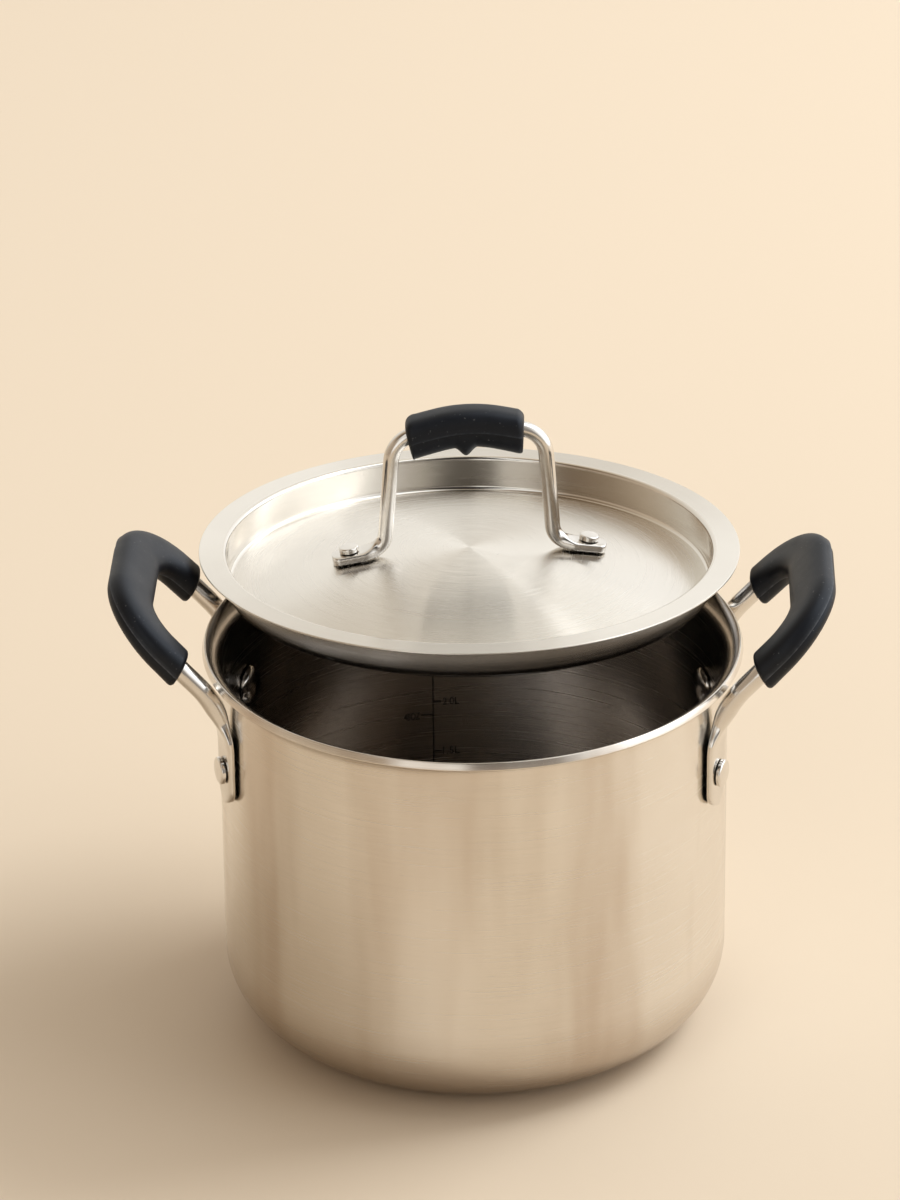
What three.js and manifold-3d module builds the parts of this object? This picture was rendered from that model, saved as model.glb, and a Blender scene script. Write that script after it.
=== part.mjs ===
// Steel casserole pot with two riveted loop handles, rubber grips and a sunk, domed lid set ajar.
// Millimetres, +Z up. The origin is the centre of the base, the loop handles lie along X.
import * as THREE from 'three';
import { mergeVertices } from 'three/addons/utils/BufferGeometryUtils.js';
import Module from 'manifold-3d';

// Pot body: one drawn sheet, flared outward at the lip
const potOuterRadius = 88.8;
const potHeight = 142.5;
const potWall = 1.9;
const baseThickness = 3;
const baseCornerRadius = 26;
const lipReach = 5.5;
const lipSweep = 78;
const lipEdgeRound = 0.4;

// Side handles: round rod, flattened into a riveted tab at each end
const rodDiameter = 7;
const tabWidth = 13.5;
const tabThickness = 2.8;
const tabBelowRivet = 12.3;
const tabTaperLength = 14;
const tabFlatPastBend = 3.5;
const rivetAngle = 21.3;
const rivetDrop = 35;
const legBendRise = 22.2;
const legBendRadius = 36;
const legLean = 42.8;
const legLength = 20.8;
const kneeRadius = 28.8;
const handleReach = 48.4;
const handleBarHalf = 30.8;
const handleCornerRadius = 19.6;

// Moulded grips on the side handles
const gripLegWidth = 13.9;
const gripLegTop = 5.9;
const gripLegBottom = 6.3;
const gripBarWidth = 18.5;
const gripBarTop = 4.9;
const gripBarBottom = 5.7;
const gripSwellLead = 11.3;
const gripSwellShort = 2.5;
const gripPastKnee = 2;
const gripEndRake = 0.32;
const gripRakeLength = 12;
const gripSquareness = 3;
const gripEdgeRound = 0.7;

// Rivets through the pot wall
const rivetShank = 5;
const rivetHeadDiameter = 9.7;
const rivetHeadHeight = 1.9;
const rivetInnerDiameter = 14;
const rivetInnerHeight = 3;

// Lid: flat flange, straight skirt and a domed floor between them
const lidSheet = 0.7;
const lidOverhang = 1.3;
const lidDepth = 13.6;
const lidDomeRise = 12.5;
const lidCornerRadius = 2.6;
const lidSetBack = 43.4;
const lidSidestep = -2.1;
const lidTilt = 3.4;
const lidTurn = 8.1;

// Lid handle: bent rod with flattened feet and an arched sleeve
const lidRodDiameter = 5.5;
const lidFootWidth = 9.2;
const lidFootThickness = 3.3;
const lidFootNose = 2.6;
const lidFootBeyondRivet = 6.4;
const lidFootTaper = 7;
const lidFootInsideRivet = 4.6;
const lidFootStepBend = 10;
const lidRivetSpan = 84;
const lidLegSpanLow = 59.2;
const lidLegSpanHigh = 53.4;
const lidHandleHeight = 42;
const lidArchRise = 4.6;
const lidFootBend = 7;
const lidTopBend = 10.5;
const lidArchBend = 62;
const lidGripLength = 41.4;
const lidGripSlide = 1;
const lidGripWidth = 13.4;
const lidGripTop = 6.2;
const lidGripCrown = 0.8;
const lidGripBottom = 7;
const lidGripFlare = 1.6;
const lidGripRake = 0.22;
const lidGripNub = 3.3;
const lidGripNubHalf = 4.3;
const lidGripSquareness = 3.6;
const lidGripEdgeRound = 1;
const lidRivetShank = 4;
const lidRivetHeadDiameter = 7;
const lidRivetHeadHeight = 2;
const lidRivetUnderHeight = 1.5;

// Fits shared by touching pieces
const seatGap = 0.3;
const holeClearance = 0.3;
const gripClearance = 0.3;
const lidClearance = 0.5;

// Shapes shared by both sizes of tab and rivet
const tabSquareness = 5;
const rivetChamferShare = 0.3;
const rivetCrownShare = 0.1;

// Facets
const potSegments = 52;
const rivetSegments = 14;
const rodSides = 10;
const gripSides = 12;
const arcSteps = 5;
const domeSteps = 6;
const cornerSteps = 2;
const drillReach = 6;

const degrees = Math.PI / 180;
const potInnerRadius = potOuterRadius - potWall;
const lipBend = lipReach / (1 - Math.cos(lipSweep * degrees));
const lipRadius = potOuterRadius + lipReach;
const rivetHeight = potHeight - rivetDrop;
const v3 = (x, y, z) => new THREE.Vector3(x, y, z);

const wasm = await Module();
wasm.setup();

// Share equal corners and drop the empty triangles that a revolve leaves on its axis
function weld(geometry) {
  const bare = geometry.clone();
  bare.deleteAttribute('normal');
  bare.deleteAttribute('uv');
  const merged = mergeVertices(bare, 1e-4);
  const old = merged.index.array;
  const kept = [];
  for (let i = 0; i < old.length; i += 3) {
    const [a, b, c] = [old[i], old[i + 1], old[i + 2]];
    if (a !== b && b !== c && c !== a) kept.push(a, b, c);
  }
  merged.setIndex(kept);
  return merged;
}

function solidOf(geometry) {
  const welded = weld(geometry);
  const vertProperties = new Float32Array(welded.attributes.position.array);
  const triVerts = new Uint32Array(welded.index.array);
  return new wasm.Manifold(new wasm.Mesh({ numProp: 3, vertProperties, triVerts }));
}

// Cut every tool from a body and hand the result back as a geometry
function cut(body, tools) {
  let solid = solidOf(body);
  for (const tool of tools) solid = solid.subtract(solidOf(tool));
  const mesh = solid.getMesh();
  const geometry = new THREE.BufferGeometry();
  geometry.setAttribute('position', new THREE.BufferAttribute(new Float32Array(mesh.vertProperties), 3));
  geometry.setIndex(new THREE.BufferAttribute(new Uint32Array(mesh.triVerts), 1));
  return geometry;
}

// Revolve a list of [radius, height] pairs about Z
function revolve(profile, segments) {
  const points = profile.map(([r, z]) => new THREE.Vector2(r, z));
  return weld(new THREE.LatheGeometry(points, segments).rotateX(Math.PI / 2));
}

// Points of an arc in the radius-height plane, angles in degrees, both ends included
function arc(centreR, centreZ, radius, from, to, steps) {
  const points = [];
  for (let i = 0; i <= steps; i += 1) {
    const angle = (from + ((to - from) * i) / steps) * degrees;
    points.push([centreR + radius * Math.cos(angle), centreZ + radius * Math.sin(angle)]);
  }
  return points;
}

// Rod or drill along an axis through a point
function drill(point, axis, diameter, length) {
  const rod = new THREE.CylinderGeometry(diameter / 2, diameter / 2, length, rivetSegments);
  const turn = new THREE.Quaternion().setFromUnitVectors(v3(0, 1, 0), axis);
  rod.applyQuaternion(turn);
  return rod.translate(point.x, point.y, point.z);
}

// Circular bend between two straight runs
class BendArc extends THREE.Curve {
  constructor(start, centre, axis, sweep) {
    super();
    Object.assign(this, { start, centre, axis, sweep });
  }

  getPoint(t, target = new THREE.Vector3()) {
    target.copy(this.start).sub(this.centre);
    return target.applyAxisAngle(this.axis, this.sweep * t).add(this.centre);
  }
}

// Straight runs between corners, each inner corner rounded by its own bend radius
function bentPath(corners, bends) {
  const runs = [];
  let from = corners[0];
  for (let i = 1; i < corners.length - 1; i += 1) {
    const into = corners[i].clone().sub(corners[i - 1]).normalize();
    const out = corners[i + 1].clone().sub(corners[i]).normalize();
    const sweep = into.angleTo(out);
    const setBack = bends[i - 1] * Math.tan(sweep / 2);
    const start = corners[i].clone().addScaledVector(into, -setBack);
    const axis = into.clone().cross(out).normalize();
    const centre = start.clone().addScaledVector(axis.clone().cross(into), bends[i - 1]);
    runs.push(new THREE.LineCurve3(from, start), new BendArc(start, centre, axis, sweep));
    from = start.clone().sub(centre).applyAxisAngle(axis, sweep).add(centre);
  }
  runs.push(new THREE.LineCurve3(from, corners[corners.length - 1]));
  return runs;
}

const lengthOf = (runs) => runs.reduce((sum, run) => sum + run.getLength(), 0);

// Point and direction at a distance along the runs
function stationAt(runs, distance) {
  let left = distance;
  for (const run of runs) {
    const length = run.getLength();
    if (left <= length || run === runs[runs.length - 1]) {
      const t = Math.min(Math.max(left / length, 0), 1);
      return { point: run.getPoint(t), along: run.getTangent(t) };
    }
    left -= length;
  }
  return null;
}

// Distances where the rings of a sweep stand: the ends of straight runs and steps along each bend
function bendDistances(runs) {
  const distances = [];
  let start = 0;
  for (const run of runs) {
    const length = run.getLength();
    const steps = run instanceof BendArc ? arcSteps : 1;
    for (let i = 0; i < steps; i += 1) distances.push(start + (length * i) / steps);
    start += length;
  }
  distances.push(start);
  return distances;
}

const unique = (list, spacing) => {
  const sorted = [...list].sort((a, b) => a - b);
  return sorted.filter((d, i) => i === 0 || d - sorted[i - 1] > spacing);
};

// Rings along the runs; the section turns with the path and never twists about it
function sweepRings(runs, distances, firstNormal, section, sides) {
  const rings = [];
  let normal = firstNormal.clone();
  for (const distance of distances) {
    const { point, along } = stationAt(runs, distance);
    normal = normal.addScaledVector(along, -normal.dot(along)).normalize();
    const side = normal.clone().cross(along);
    const { halfWidth, top, bottom, power, rake = 0 } = section(distance);
    const ring = [];
    for (let k = 0; k < sides; k += 1) {
      const angle = (2 * Math.PI * k) / sides;
      const [c, s] = [Math.cos(angle), Math.sin(angle)];
      const across = Math.sign(c) * Math.abs(c) ** (2 / power) * halfWidth;
      const up = Math.sign(s) * Math.abs(s) ** (2 / power) * (s > 0 ? top : bottom);
      const corner = point.clone().addScaledVector(side, across).addScaledVector(normal, up);
      ring.push(corner.addScaledVector(along, rake * up));
    }
    rings.push(ring);
  }
  return rings;
}

const mirrorRing = (ring) => ring.map((p) => v3(p.x, -p.y, p.z));

// Rings of a half that starts at the far end and stops in the plane y = 0, carried over to the other half
const mirrorRings = (rings) => [...rings, ...rings.slice(0, -1).reverse().map(mirrorRing)];

function facesBetween(a, b, count, faces) {
  for (let k = 0; k < count; k += 1) {
    const next = (k + 1) % count;
    faces.push(a + k, a + next, b + next, a + k, b + next, b + k);
  }
}

function geometryOf(points, faces) {
  const geometry = new THREE.BufferGeometry();
  const flat = points.flatMap((p) => [p.x, p.y, p.z]);
  geometry.setAttribute('position', new THREE.Float32BufferAttribute(flat, 3));
  geometry.setIndex(faces);
  return geometry;
}

// Closed solid through a row of rings, with flat ends
function loft(rings) {
  const count = rings[0].length;
  const points = rings.flat();
  const faces = [];
  for (let i = 0; i < rings.length - 1; i += 1) facesBetween(i * count, (i + 1) * count, count, faces);
  const ends = [rings[0], rings[rings.length - 1]];
  const middles = ends.map((ring) => ring.reduce((sum, p) => sum.add(p), v3(0, 0, 0)).divideScalar(count));
  const first = points.push(...middles) - 2;
  const lastRing = (rings.length - 1) * count;
  for (let k = 0; k < count; k += 1) {
    const next = (k + 1) % count;
    faces.push(first, next, k, first + 1, lastRing + k, lastRing + next);
  }
  return geometryOf(points, faces);
}

// Sleeve between outer and bore rings, open at both ends for the rod
function sleeve(outer, bore) {
  const count = outer[0].length;
  const points = [...outer.flat(), ...bore.flat()];
  const boreStart = outer.length * count;
  const last = (outer.length - 1) * count;
  const faces = [];
  for (let i = 0; i < outer.length - 1; i += 1) {
    facesBetween(i * count, (i + 1) * count, count, faces);
    facesBetween(boreStart + (i + 1) * count, boreStart + i * count, count, faces);
  }
  facesBetween(boreStart, 0, count, faces);
  facesBetween(last, boreStart + last, count, faces);
  return geometryOf(points, faces);
}

const smooth = (t) => THREE.MathUtils.smoothstep(t, 0, 1);
const round = (radius) => ({ halfWidth: radius, top: radius, bottom: radius, power: 2 });

// Section of a rod whose end is flattened: round-nosed tab, then a taper back to the full round
function tabSection(distance, tab) {
  const fromNose = Math.min(distance / tab.nose, 1);
  const noseWidth = (tab.width / 2) * Math.sqrt(1 - (1 - fromNose) ** 2);
  const t = smooth((distance - tab.flatLength) / tab.taper);
  const half = THREE.MathUtils.lerp(tab.thickness / 2, tab.rod / 2, t);
  const width = THREE.MathUtils.lerp(noseWidth, tab.rod / 2, t);
  return { halfWidth: width, top: half, bottom: half, power: THREE.MathUtils.lerp(tabSquareness, 2, t) };
}

// Distances that give a tab its round nose and its taper
function tabDistances(tab) {
  const nose = [0.04, 0.15, 0.35, 0.65, 1].map((share) => share * tab.nose);
  const taper = [0, 0.2, 0.4, 0.6, 0.8, 1].map((share) => tab.flatLength + share * tab.taper);
  return [...nose, ...taper];
}

const steel = (roughness) => new THREE.MeshStandardMaterial({ color: '#c8c4bc', roughness, metalness: 1 });
const rubber = () => new THREE.MeshStandardMaterial({ color: '#1d1f24', roughness: 0.62, metalness: 0 });

function piece(name, geometry, material) {
  const mesh = new THREE.Mesh(geometry, material);
  mesh.name = name;
  return mesh;
}

// Radial direction of a pot rivet; side is 1 or -1 for the two tabs of one handle
const rivetAxis = (side) => v3(Math.cos(rivetAngle * degrees), side * Math.sin(rivetAngle * degrees), 0);
const rivetPoint = (side, radius) => rivetAxis(side).multiplyScalar(radius).setZ(rivetHeight);

// Drawn pot: flat base, large bottom corner, straight wall and a lip flared on an arc
function makePotBody() {
  const lipCentreR = potOuterRadius + lipBend;
  const lipCentreZ = potHeight - (lipBend + potWall) * Math.sin(lipSweep * degrees);
  const innerCorner = baseCornerRadius - potWall;
  const lipEnd = 180 - lipSweep;
  const outerLip = arc(lipCentreR, lipCentreZ, lipBend, 180, lipEnd, arcSteps);
  const innerLip = arc(lipCentreR, lipCentreZ, lipBend + potWall, lipEnd, 180, arcSteps);
  const [sine, cosine] = [Math.sin(lipSweep * degrees), Math.cos(lipSweep * degrees)];
  const [under, over] = [outerLip.pop(), innerLip.shift()];
  const eased = (corner, back, along) => [
    corner[0] - back * sine - along * cosine,
    corner[1] - back * cosine + along * sine,
  ];
  const rounded = [
    eased(under, lipEdgeRound, 0),
    eased(under, 0, lipEdgeRound),
    eased(over, 0, -lipEdgeRound),
    eased(over, lipEdgeRound, 0),
  ];
  const profile = [
    [0, 0],
    ...arc(potOuterRadius - baseCornerRadius, baseCornerRadius, baseCornerRadius, -90, 0, arcSteps),
    ...outerLip,
    ...rounded,
    ...innerLip,
    ...arc(potInnerRadius - innerCorner, baseThickness + innerCorner, innerCorner, 0, -90, arcSteps),
    [0, baseThickness],
  ];
  const holes = [];
  for (const turn of [0, Math.PI]) {
    for (const side of [1, -1]) {
      const axis = rivetAxis(side).applyAxisAngle(v3(0, 0, 1), turn);
      const point = rivetPoint(side, potOuterRadius).applyAxisAngle(v3(0, 0, 1), turn);
      holes.push(drill(point, axis, rivetShank + 2 * holeClearance, drillReach * potWall));
    }
  }
  return piece('pot_body', cut(revolve(profile, potSegments), holes), steel(0.22));
}

// Half of the side handle's centre line, from the end of a tab to the middle of the loop
function handleRuns() {
  const tabRadius = potOuterRadius + seatGap + tabThickness / 2;
  const foot = rivetPoint(1, tabRadius);
  const lean = legLean * degrees;
  const bend = foot.clone().setZ(rivetHeight + legBendRise);
  const rise = v3(Math.sin(lean), 0, Math.cos(lean));
  const knee = bend.clone().addScaledVector(rise, legLength);
  const bar = bend.clone().addScaledVector(rise, handleReach);
  const corners = [
    foot.clone().setZ(rivetHeight - tabBelowRivet),
    bend,
    knee,
    bar.clone().setY(handleBarHalf),
    bar.clone().setY(0),
  ];
  return bentPath(corners, [legBendRadius, kneeRadius, handleCornerRadius]);
}

const sideTab = {
  width: tabWidth,
  nose: tabWidth / 2,
  thickness: tabThickness,
  rod: rodDiameter,
  taper: tabTaperLength,
};

function makeHandleBar(name, turn) {
  const runs = handleRuns();
  const tab = { ...sideTab, flatLength: runs[0].getLength() + tabFlatPastBend };
  const distances = unique([...tabDistances(tab), ...bendDistances(runs)], 0.4).slice(1);
  const rings = sweepRings(runs, distances, rivetAxis(1), (d) => tabSection(d, tab), rodSides);
  const holes = [1, -1].map((side) => {
    const point = rivetPoint(side, potOuterRadius + tabThickness);
    return drill(point, rivetAxis(side), rivetShank + 2 * holeClearance, drillReach * tabThickness);
  });
  const bar = piece(name, cut(loft(mirrorRings(rings)), holes), steel(0.3));
  bar.rotation.z = turn;
  return bar;
}

// Grip: bored sleeve, slim on the legs and full along the outer bar
function makeGrip(name, turn) {
  const runs = handleRuns();
  const start = lengthOf(runs.slice(0, 3)) + gripPastKnee;
  const legEnd = lengthOf(runs.slice(0, 5));
  const slim = legEnd - gripSwellLead;
  const full = lengthOf(runs.slice(0, 6)) - gripSwellShort;
  const rakeAt = (d) => gripEndRake * Math.max(0, 1 - (d - start) / gripRakeLength);
  const ends = [start, start + gripEdgeRound];
  const steps = [0.3, 0.6].map((share) => start + share * (legEnd - start));
  const distances = unique([...ends, ...steps, ...bendDistances(runs)], 0.4).filter((d) => d >= start);
  const section = (d) => {
    const t = smooth((d - slim) / (full - slim));
    const edge = Math.max(0, gripEdgeRound - (d - start));
    return {
      halfWidth: THREE.MathUtils.lerp(gripLegWidth, gripBarWidth, t) / 2 - edge,
      top: THREE.MathUtils.lerp(gripLegTop, gripBarTop, t) - edge,
      bottom: THREE.MathUtils.lerp(gripLegBottom, gripBarBottom, t) - edge,
      power: gripSquareness,
      rake: rakeAt(d),
    };
  };
  const bore = (d) => ({ ...round(rodDiameter / 2 + gripClearance), rake: rakeAt(d) });
  const outward = v3(-Math.SQRT1_2, 0, Math.SQRT1_2);
  const outer = sweepRings(runs, distances, outward, section, gripSides);
  const inner = sweepRings(runs, distances, outward, bore, gripSides);
  const grip = piece(name, sleeve(mirrorRings(outer), mirrorRings(inner)), rubber());
  grip.rotation.z = turn;
  return grip;
}

// Solid rivet along its own axis: low outer head, shank and domed inner head
function rivetProfile(rivet) {
  const { shank, outerDiameter, outerHeight, innerDiameter, innerHeight, outerSeat, innerSeat } = rivet;
  const chamfer = outerHeight * rivetChamferShare;
  const crown = outerHeight * rivetCrownShare;
  const quarter = arc(0, 0, 1, -90, 0, arcSteps - 1);
  const dome = quarter.map(([r, z]) => [(r * innerDiameter) / 2, innerSeat + z * innerHeight]);
  return [
    ...dome,
    [shank / 2, innerSeat],
    [shank / 2, outerSeat],
    [outerDiameter / 2, outerSeat],
    [outerDiameter / 2, outerSeat + outerHeight - chamfer],
    [outerDiameter / 2 - chamfer, outerSeat + outerHeight - crown],
    [0, outerSeat + outerHeight],
  ];
}

function makePotRivet(name, turn, side) {
  const sagitta = potInnerRadius - Math.sqrt(potInnerRadius ** 2 - (rivetInnerDiameter / 2) ** 2);
  const profile = rivetProfile({
    shank: rivetShank,
    outerDiameter: rivetHeadDiameter,
    outerHeight: rivetHeadHeight,
    innerDiameter: rivetInnerDiameter,
    innerHeight: rivetInnerHeight,
    outerSeat: potOuterRadius + tabThickness + 2 * seatGap,
    innerSeat: potInnerRadius - sagitta - seatGap,
  });
  const geometry = revolve(profile, rivetSegments);
  const toAxis = new THREE.Quaternion().setFromUnitVectors(v3(0, 0, 1), rivetAxis(side));
  geometry.applyQuaternion(toAxis).translate(0, 0, rivetHeight);
  const rivet = piece(name, geometry, steel(0.2));
  rivet.rotation.z = turn;
  return rivet;
}

// Lid: heights are measured from the top of the flange
const lidSkirtRadius = potInnerRadius - lidClearance;
const lidFlangeRadius = lipRadius + lidOverhang;
const lidWellRadius = lidSkirtRadius - lidSheet;
const lidDomeRadius = lidSkirtRadius - lidCornerRadius;
const domeHeight = (r) => lidSheet - lidDepth + lidDomeRise * (1 - (r / lidDomeRadius) ** 2);
const domeSlope = (r) => Math.atan((2 * lidDomeRise * r) / lidDomeRadius ** 2);

function makeLidShell() {
  const under = [];
  for (let i = 0; i <= domeSteps; i += 1) {
    const r = (lidDomeRadius * i) / domeSteps;
    under.push([r, domeHeight(r) - lidSheet]);
  }
  const top = under.map(([r, z]) => [r, z + lidSheet]).reverse();
  const corner = arc(lidDomeRadius, lidCornerRadius - lidDepth, lidCornerRadius, -90, 0, cornerSteps);
  const innerBend = lidCornerRadius - lidSheet;
  const innerCorner = arc(lidDomeRadius, lidCornerRadius - lidDepth, innerBend, 0, -90, cornerSteps);
  const profile = [
    ...under,
    ...corner.slice(1),
    [lidSkirtRadius, -lidSheet],
    [lidFlangeRadius, -lidSheet],
    [lidFlangeRadius, 0],
    [lidWellRadius, 0],
    ...innerCorner.slice(0, -1),
    ...top,
  ];
  const holes = [1, -1].map((side) => {
    const seat = lidRivetSeat(side);
    return drill(seat.point, seat.axis, lidRivetShank + 2 * holeClearance, drillReach * lidFootThickness);
  });
  return piece('lid_shell', cut(revolve(profile, potSegments), holes), steel(0.35));
}

// Point on the dome under a lid rivet and the dome's own normal there
function lidRivetSeat(side) {
  const r = lidRivetSpan / 2;
  const slope = domeSlope(r);
  return {
    point: v3(side * r, 0, domeHeight(r)),
    axis: v3(side * Math.sin(slope), 0, Math.cos(slope)),
  };
}

// Centre line of the lid handle, foot to foot, in the plane y = 0 of the lid
function lidHandleRuns() {
  const seat = lidRivetSeat(1);
  const outward = v3(seat.axis.z, 0, -seat.axis.x);
  const rivet = seat.point.clone().addScaledVector(seat.axis, seatGap + lidFootThickness / 2);
  const end = rivet.clone().addScaledVector(outward, lidFootBeyondRivet);
  const step = rivet.clone().addScaledVector(outward, -lidFootInsideRivet);
  const inward = (lidRivetSpan - lidLegSpanLow) / 2 / outward.x;
  const heel = rivet.clone().addScaledVector(outward, -inward);
  heel.addScaledVector(seat.axis, (lidRodDiameter - lidFootThickness) / 2);
  const shoulder = v3(lidLegSpanHigh / 2, 0, lidHandleHeight);
  const crown = v3(0, 0, lidHandleHeight + lidArchRise);
  const flip = (p) => v3(-p.x, 0, p.z);
  const half = [end, step, heel, shoulder];
  const bends = [lidFootStepBend, lidFootBend, lidTopBend];
  const corners = [...half, crown, ...half.map(flip).reverse()];
  return bentPath(corners, [...bends, lidArchBend, ...bends.toReversed()]);
}

function makeLidHandleBar() {
  const runs = lidHandleRuns();
  const total = lengthOf(runs);
  const tab = {
    width: lidFootWidth,
    nose: lidFootNose,
    thickness: lidFootThickness,
    rod: lidRodDiameter,
    flatLength: lidFootBeyondRivet + lidFootInsideRivet,
    taper: lidFootTaper,
  };
  const near = [...tabDistances(tab), ...bendDistances(runs)].filter((d) => d <= total / 2);
  const all = [...near, ...near.map((d) => total - d)];
  const distances = unique(all, 0.4).slice(1, -1);
  const seat = lidRivetSeat(1);
  const section = (d) => tabSection(Math.min(d, total - d), tab);
  const rings = sweepRings(runs, distances, seat.axis, section, rodSides);
  const holes = [1, -1].map((side) => {
    const { point, axis } = lidRivetSeat(side);
    return drill(point, axis, lidRivetShank + 2 * holeClearance, drillReach * lidFootThickness);
  });
  return piece('lid_handle_bar', cut(loft(rings), holes), steel(0.25));
}

// Arched sleeve on the lid handle, with a small pointed nub under its middle
function makeLidGrip() {
  const runs = lidHandleRuns();
  const middle = lengthOf(runs) / 2 + lidGripSlide;
  const half = lidGripLength / 2;
  const rakeAt = (d) => (lidGripRake * (middle - d)) / half;
  const offsets = [-half, lidGripEdgeRound - half, ...[-0.75, -0.5, -0.3].map((share) => share * half)];
  const nub = [-1, -0.75, -0.5, -0.25, 0].map((share) => share * lidGripNubHalf);
  const near = [...offsets, ...nub];
  const distances = unique([...near, ...near.map((d) => -d)], 0.4).map((d) => middle + d);
  const section = (d) => {
    const offset = Math.abs(d - middle);
    const edge = Math.max(0, lidGripEdgeRound - (half - offset));
    const drop = lidGripNub * smooth(1 - offset / lidGripNubHalf);
    const flare = lidGripFlare * (offset / half) ** 2;
    const crown = lidGripCrown * (1 - (offset / half) ** 2);
    return {
      halfWidth: lidGripWidth / 2 - edge,
      top: lidGripTop + crown - edge,
      bottom: lidGripBottom + flare + drop - edge,
      power: lidGripSquareness,
      rake: rakeAt(d),
    };
  };
  const bore = (d) => ({ ...round(lidRodDiameter / 2 + gripClearance), rake: rakeAt(d) });
  const outer = sweepRings(runs, distances, v3(0, 0, 1), section, gripSides);
  const inner = sweepRings(runs, distances, v3(0, 0, 1), bore, gripSides);
  return piece('lid_grip', sleeve(outer, inner), rubber());
}

function makeLidRivet(name, side) {
  const { point, axis } = lidRivetSeat(side);
  const profile = rivetProfile({
    shank: lidRivetShank,
    outerDiameter: lidRivetHeadDiameter,
    outerHeight: lidRivetHeadHeight,
    innerDiameter: lidRivetHeadDiameter,
    innerHeight: lidRivetUnderHeight,
    outerSeat: lidFootThickness + 2 * seatGap,
    innerSeat: -lidSheet - seatGap,
  });
  const geometry = revolve(profile, rivetSegments);
  geometry.applyQuaternion(new THREE.Quaternion().setFromUnitVectors(v3(0, 0, 1), axis));
  return piece(name, geometry.translate(point.x, point.y, point.z), steel(0.2));
}

// The lid lies ajar: its skirt rests on the lip at the two places where the circles cross
function makeLid() {
  const tilt = lidTilt * degrees;
  const lipTop = potOuterRadius + lipBend - (lipBend + potWall) * Math.cos(lipSweep * degrees);
  const offset = Math.hypot(lidSetBack, lidSidestep);
  const chord = (lipTop ** 2 - lidDomeRadius ** 2 + offset ** 2) / (2 * offset);
  const halfChord = Math.sqrt(lipTop ** 2 - chord ** 2);
  const rearCrossing = (chord * lidSetBack + halfChord * Math.abs(lidSidestep)) / offset;
  const drop = lidDepth / Math.cos(tilt) + (rearCrossing - lidSetBack) * Math.tan(tilt);
  const lid = new THREE.Group();
  lid.position.set(lidSidestep, lidSetBack, potHeight + seatGap + drop);
  lid.rotation.set(-tilt, 0, 0);
  const turned = new THREE.Group();
  turned.rotation.z = lidTurn * degrees;
  turned.add(makeLidHandleBar(), makeLidGrip());
  turned.add(makeLidRivet('lid_rivet_right', 1), makeLidRivet('lid_rivet_left', -1), makeLidShell());
  lid.add(turned);
  return lid;
}

const pot = new THREE.Group();
pot.name = 'casserole_pot';
pot.add(makePotBody());
for (const [side, turn] of [['right', 0], ['left', Math.PI]]) {
  pot.add(makeHandleBar(`${side}_handle_bar`, turn), makeGrip(`${side}_grip`, turn));
  const nearer = side === 'right' ? -1 : 1;
  pot.add(makePotRivet(`rivet_${side}_front`, turn, nearer));
  pot.add(makePotRivet(`rivet_${side}_rear`, turn, -nearer));
}
pot.add(makeLid());

export default pot;
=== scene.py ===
# Looks of a steel casserole pot with its lid ajar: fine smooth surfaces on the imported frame
import bpy
import numpy as np
from mathutils import Matrix


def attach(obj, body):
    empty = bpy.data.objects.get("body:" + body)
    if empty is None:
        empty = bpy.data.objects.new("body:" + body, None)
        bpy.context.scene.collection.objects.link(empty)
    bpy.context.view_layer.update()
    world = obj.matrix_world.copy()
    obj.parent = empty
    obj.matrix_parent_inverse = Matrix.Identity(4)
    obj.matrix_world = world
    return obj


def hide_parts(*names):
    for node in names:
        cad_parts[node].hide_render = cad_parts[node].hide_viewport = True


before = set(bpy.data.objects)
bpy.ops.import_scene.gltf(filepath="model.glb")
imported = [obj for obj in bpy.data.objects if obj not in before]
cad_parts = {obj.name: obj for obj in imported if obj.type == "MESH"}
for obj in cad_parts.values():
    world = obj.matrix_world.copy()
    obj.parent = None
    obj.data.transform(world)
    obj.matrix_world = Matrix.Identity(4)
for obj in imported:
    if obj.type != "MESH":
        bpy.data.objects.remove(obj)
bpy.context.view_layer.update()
mm = 0.001  # sizes below are in millimetres, meshes are in metres
doubled = 1e-4  # points of a profile closer than this, in millimetres, count as one
brushRing = 0.03  # radius in metres of the circle in the brush attribute
roundPower = 2.0  # superellipse power of a circle
print("frame loaded,", len(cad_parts), "nodes")


def rad(degrees):
    return degrees * np.pi / 180


def unit(v):  # vectors scaled to length 1
    return v / np.linalg.norm(v, axis=-1, keepdims=True)


def smooth(t):  # cubic step from 0 to 1
    t = np.clip(t, 0, 1)
    return t * t * (3 - 2 * t)


def mix(a, b, t):  # a at t = 0, b at t = 1
    return a + (b - a) * t


# arc in the radius-height plane: centre + radius (cos a, sin a), a in degrees from start to end
def arcRow(centreR, centreZ, radius, start, end, steps):
    a = rad(np.linspace(start, end, steps + 1))
    return np.stack([centreR + radius * np.cos(a), centreZ + radius * np.sin(a)], 1)


def arcPoint(centreR, centreZ, radius, degrees):  # one point of such an arc
    return arcRow(centreR, centreZ, radius, degrees, degrees, 0)[0]


# straight row a (1 - t) + b t, with t a cubic step that crowds the points towards both ends
def lineRow(a, b, steps):
    t = smooth(np.linspace(0, 1, steps + 1))[:, None]
    return np.array(a) * (1 - t) + np.array(b) * t


# rows of a profile one after the other, doubled points dropped
def joinRows(*rows):
    p = np.concatenate(rows)
    keep = np.r_[True, np.linalg.norm(np.diff(p, axis=0), axis=1) > doubled]
    return p[keep]


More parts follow.
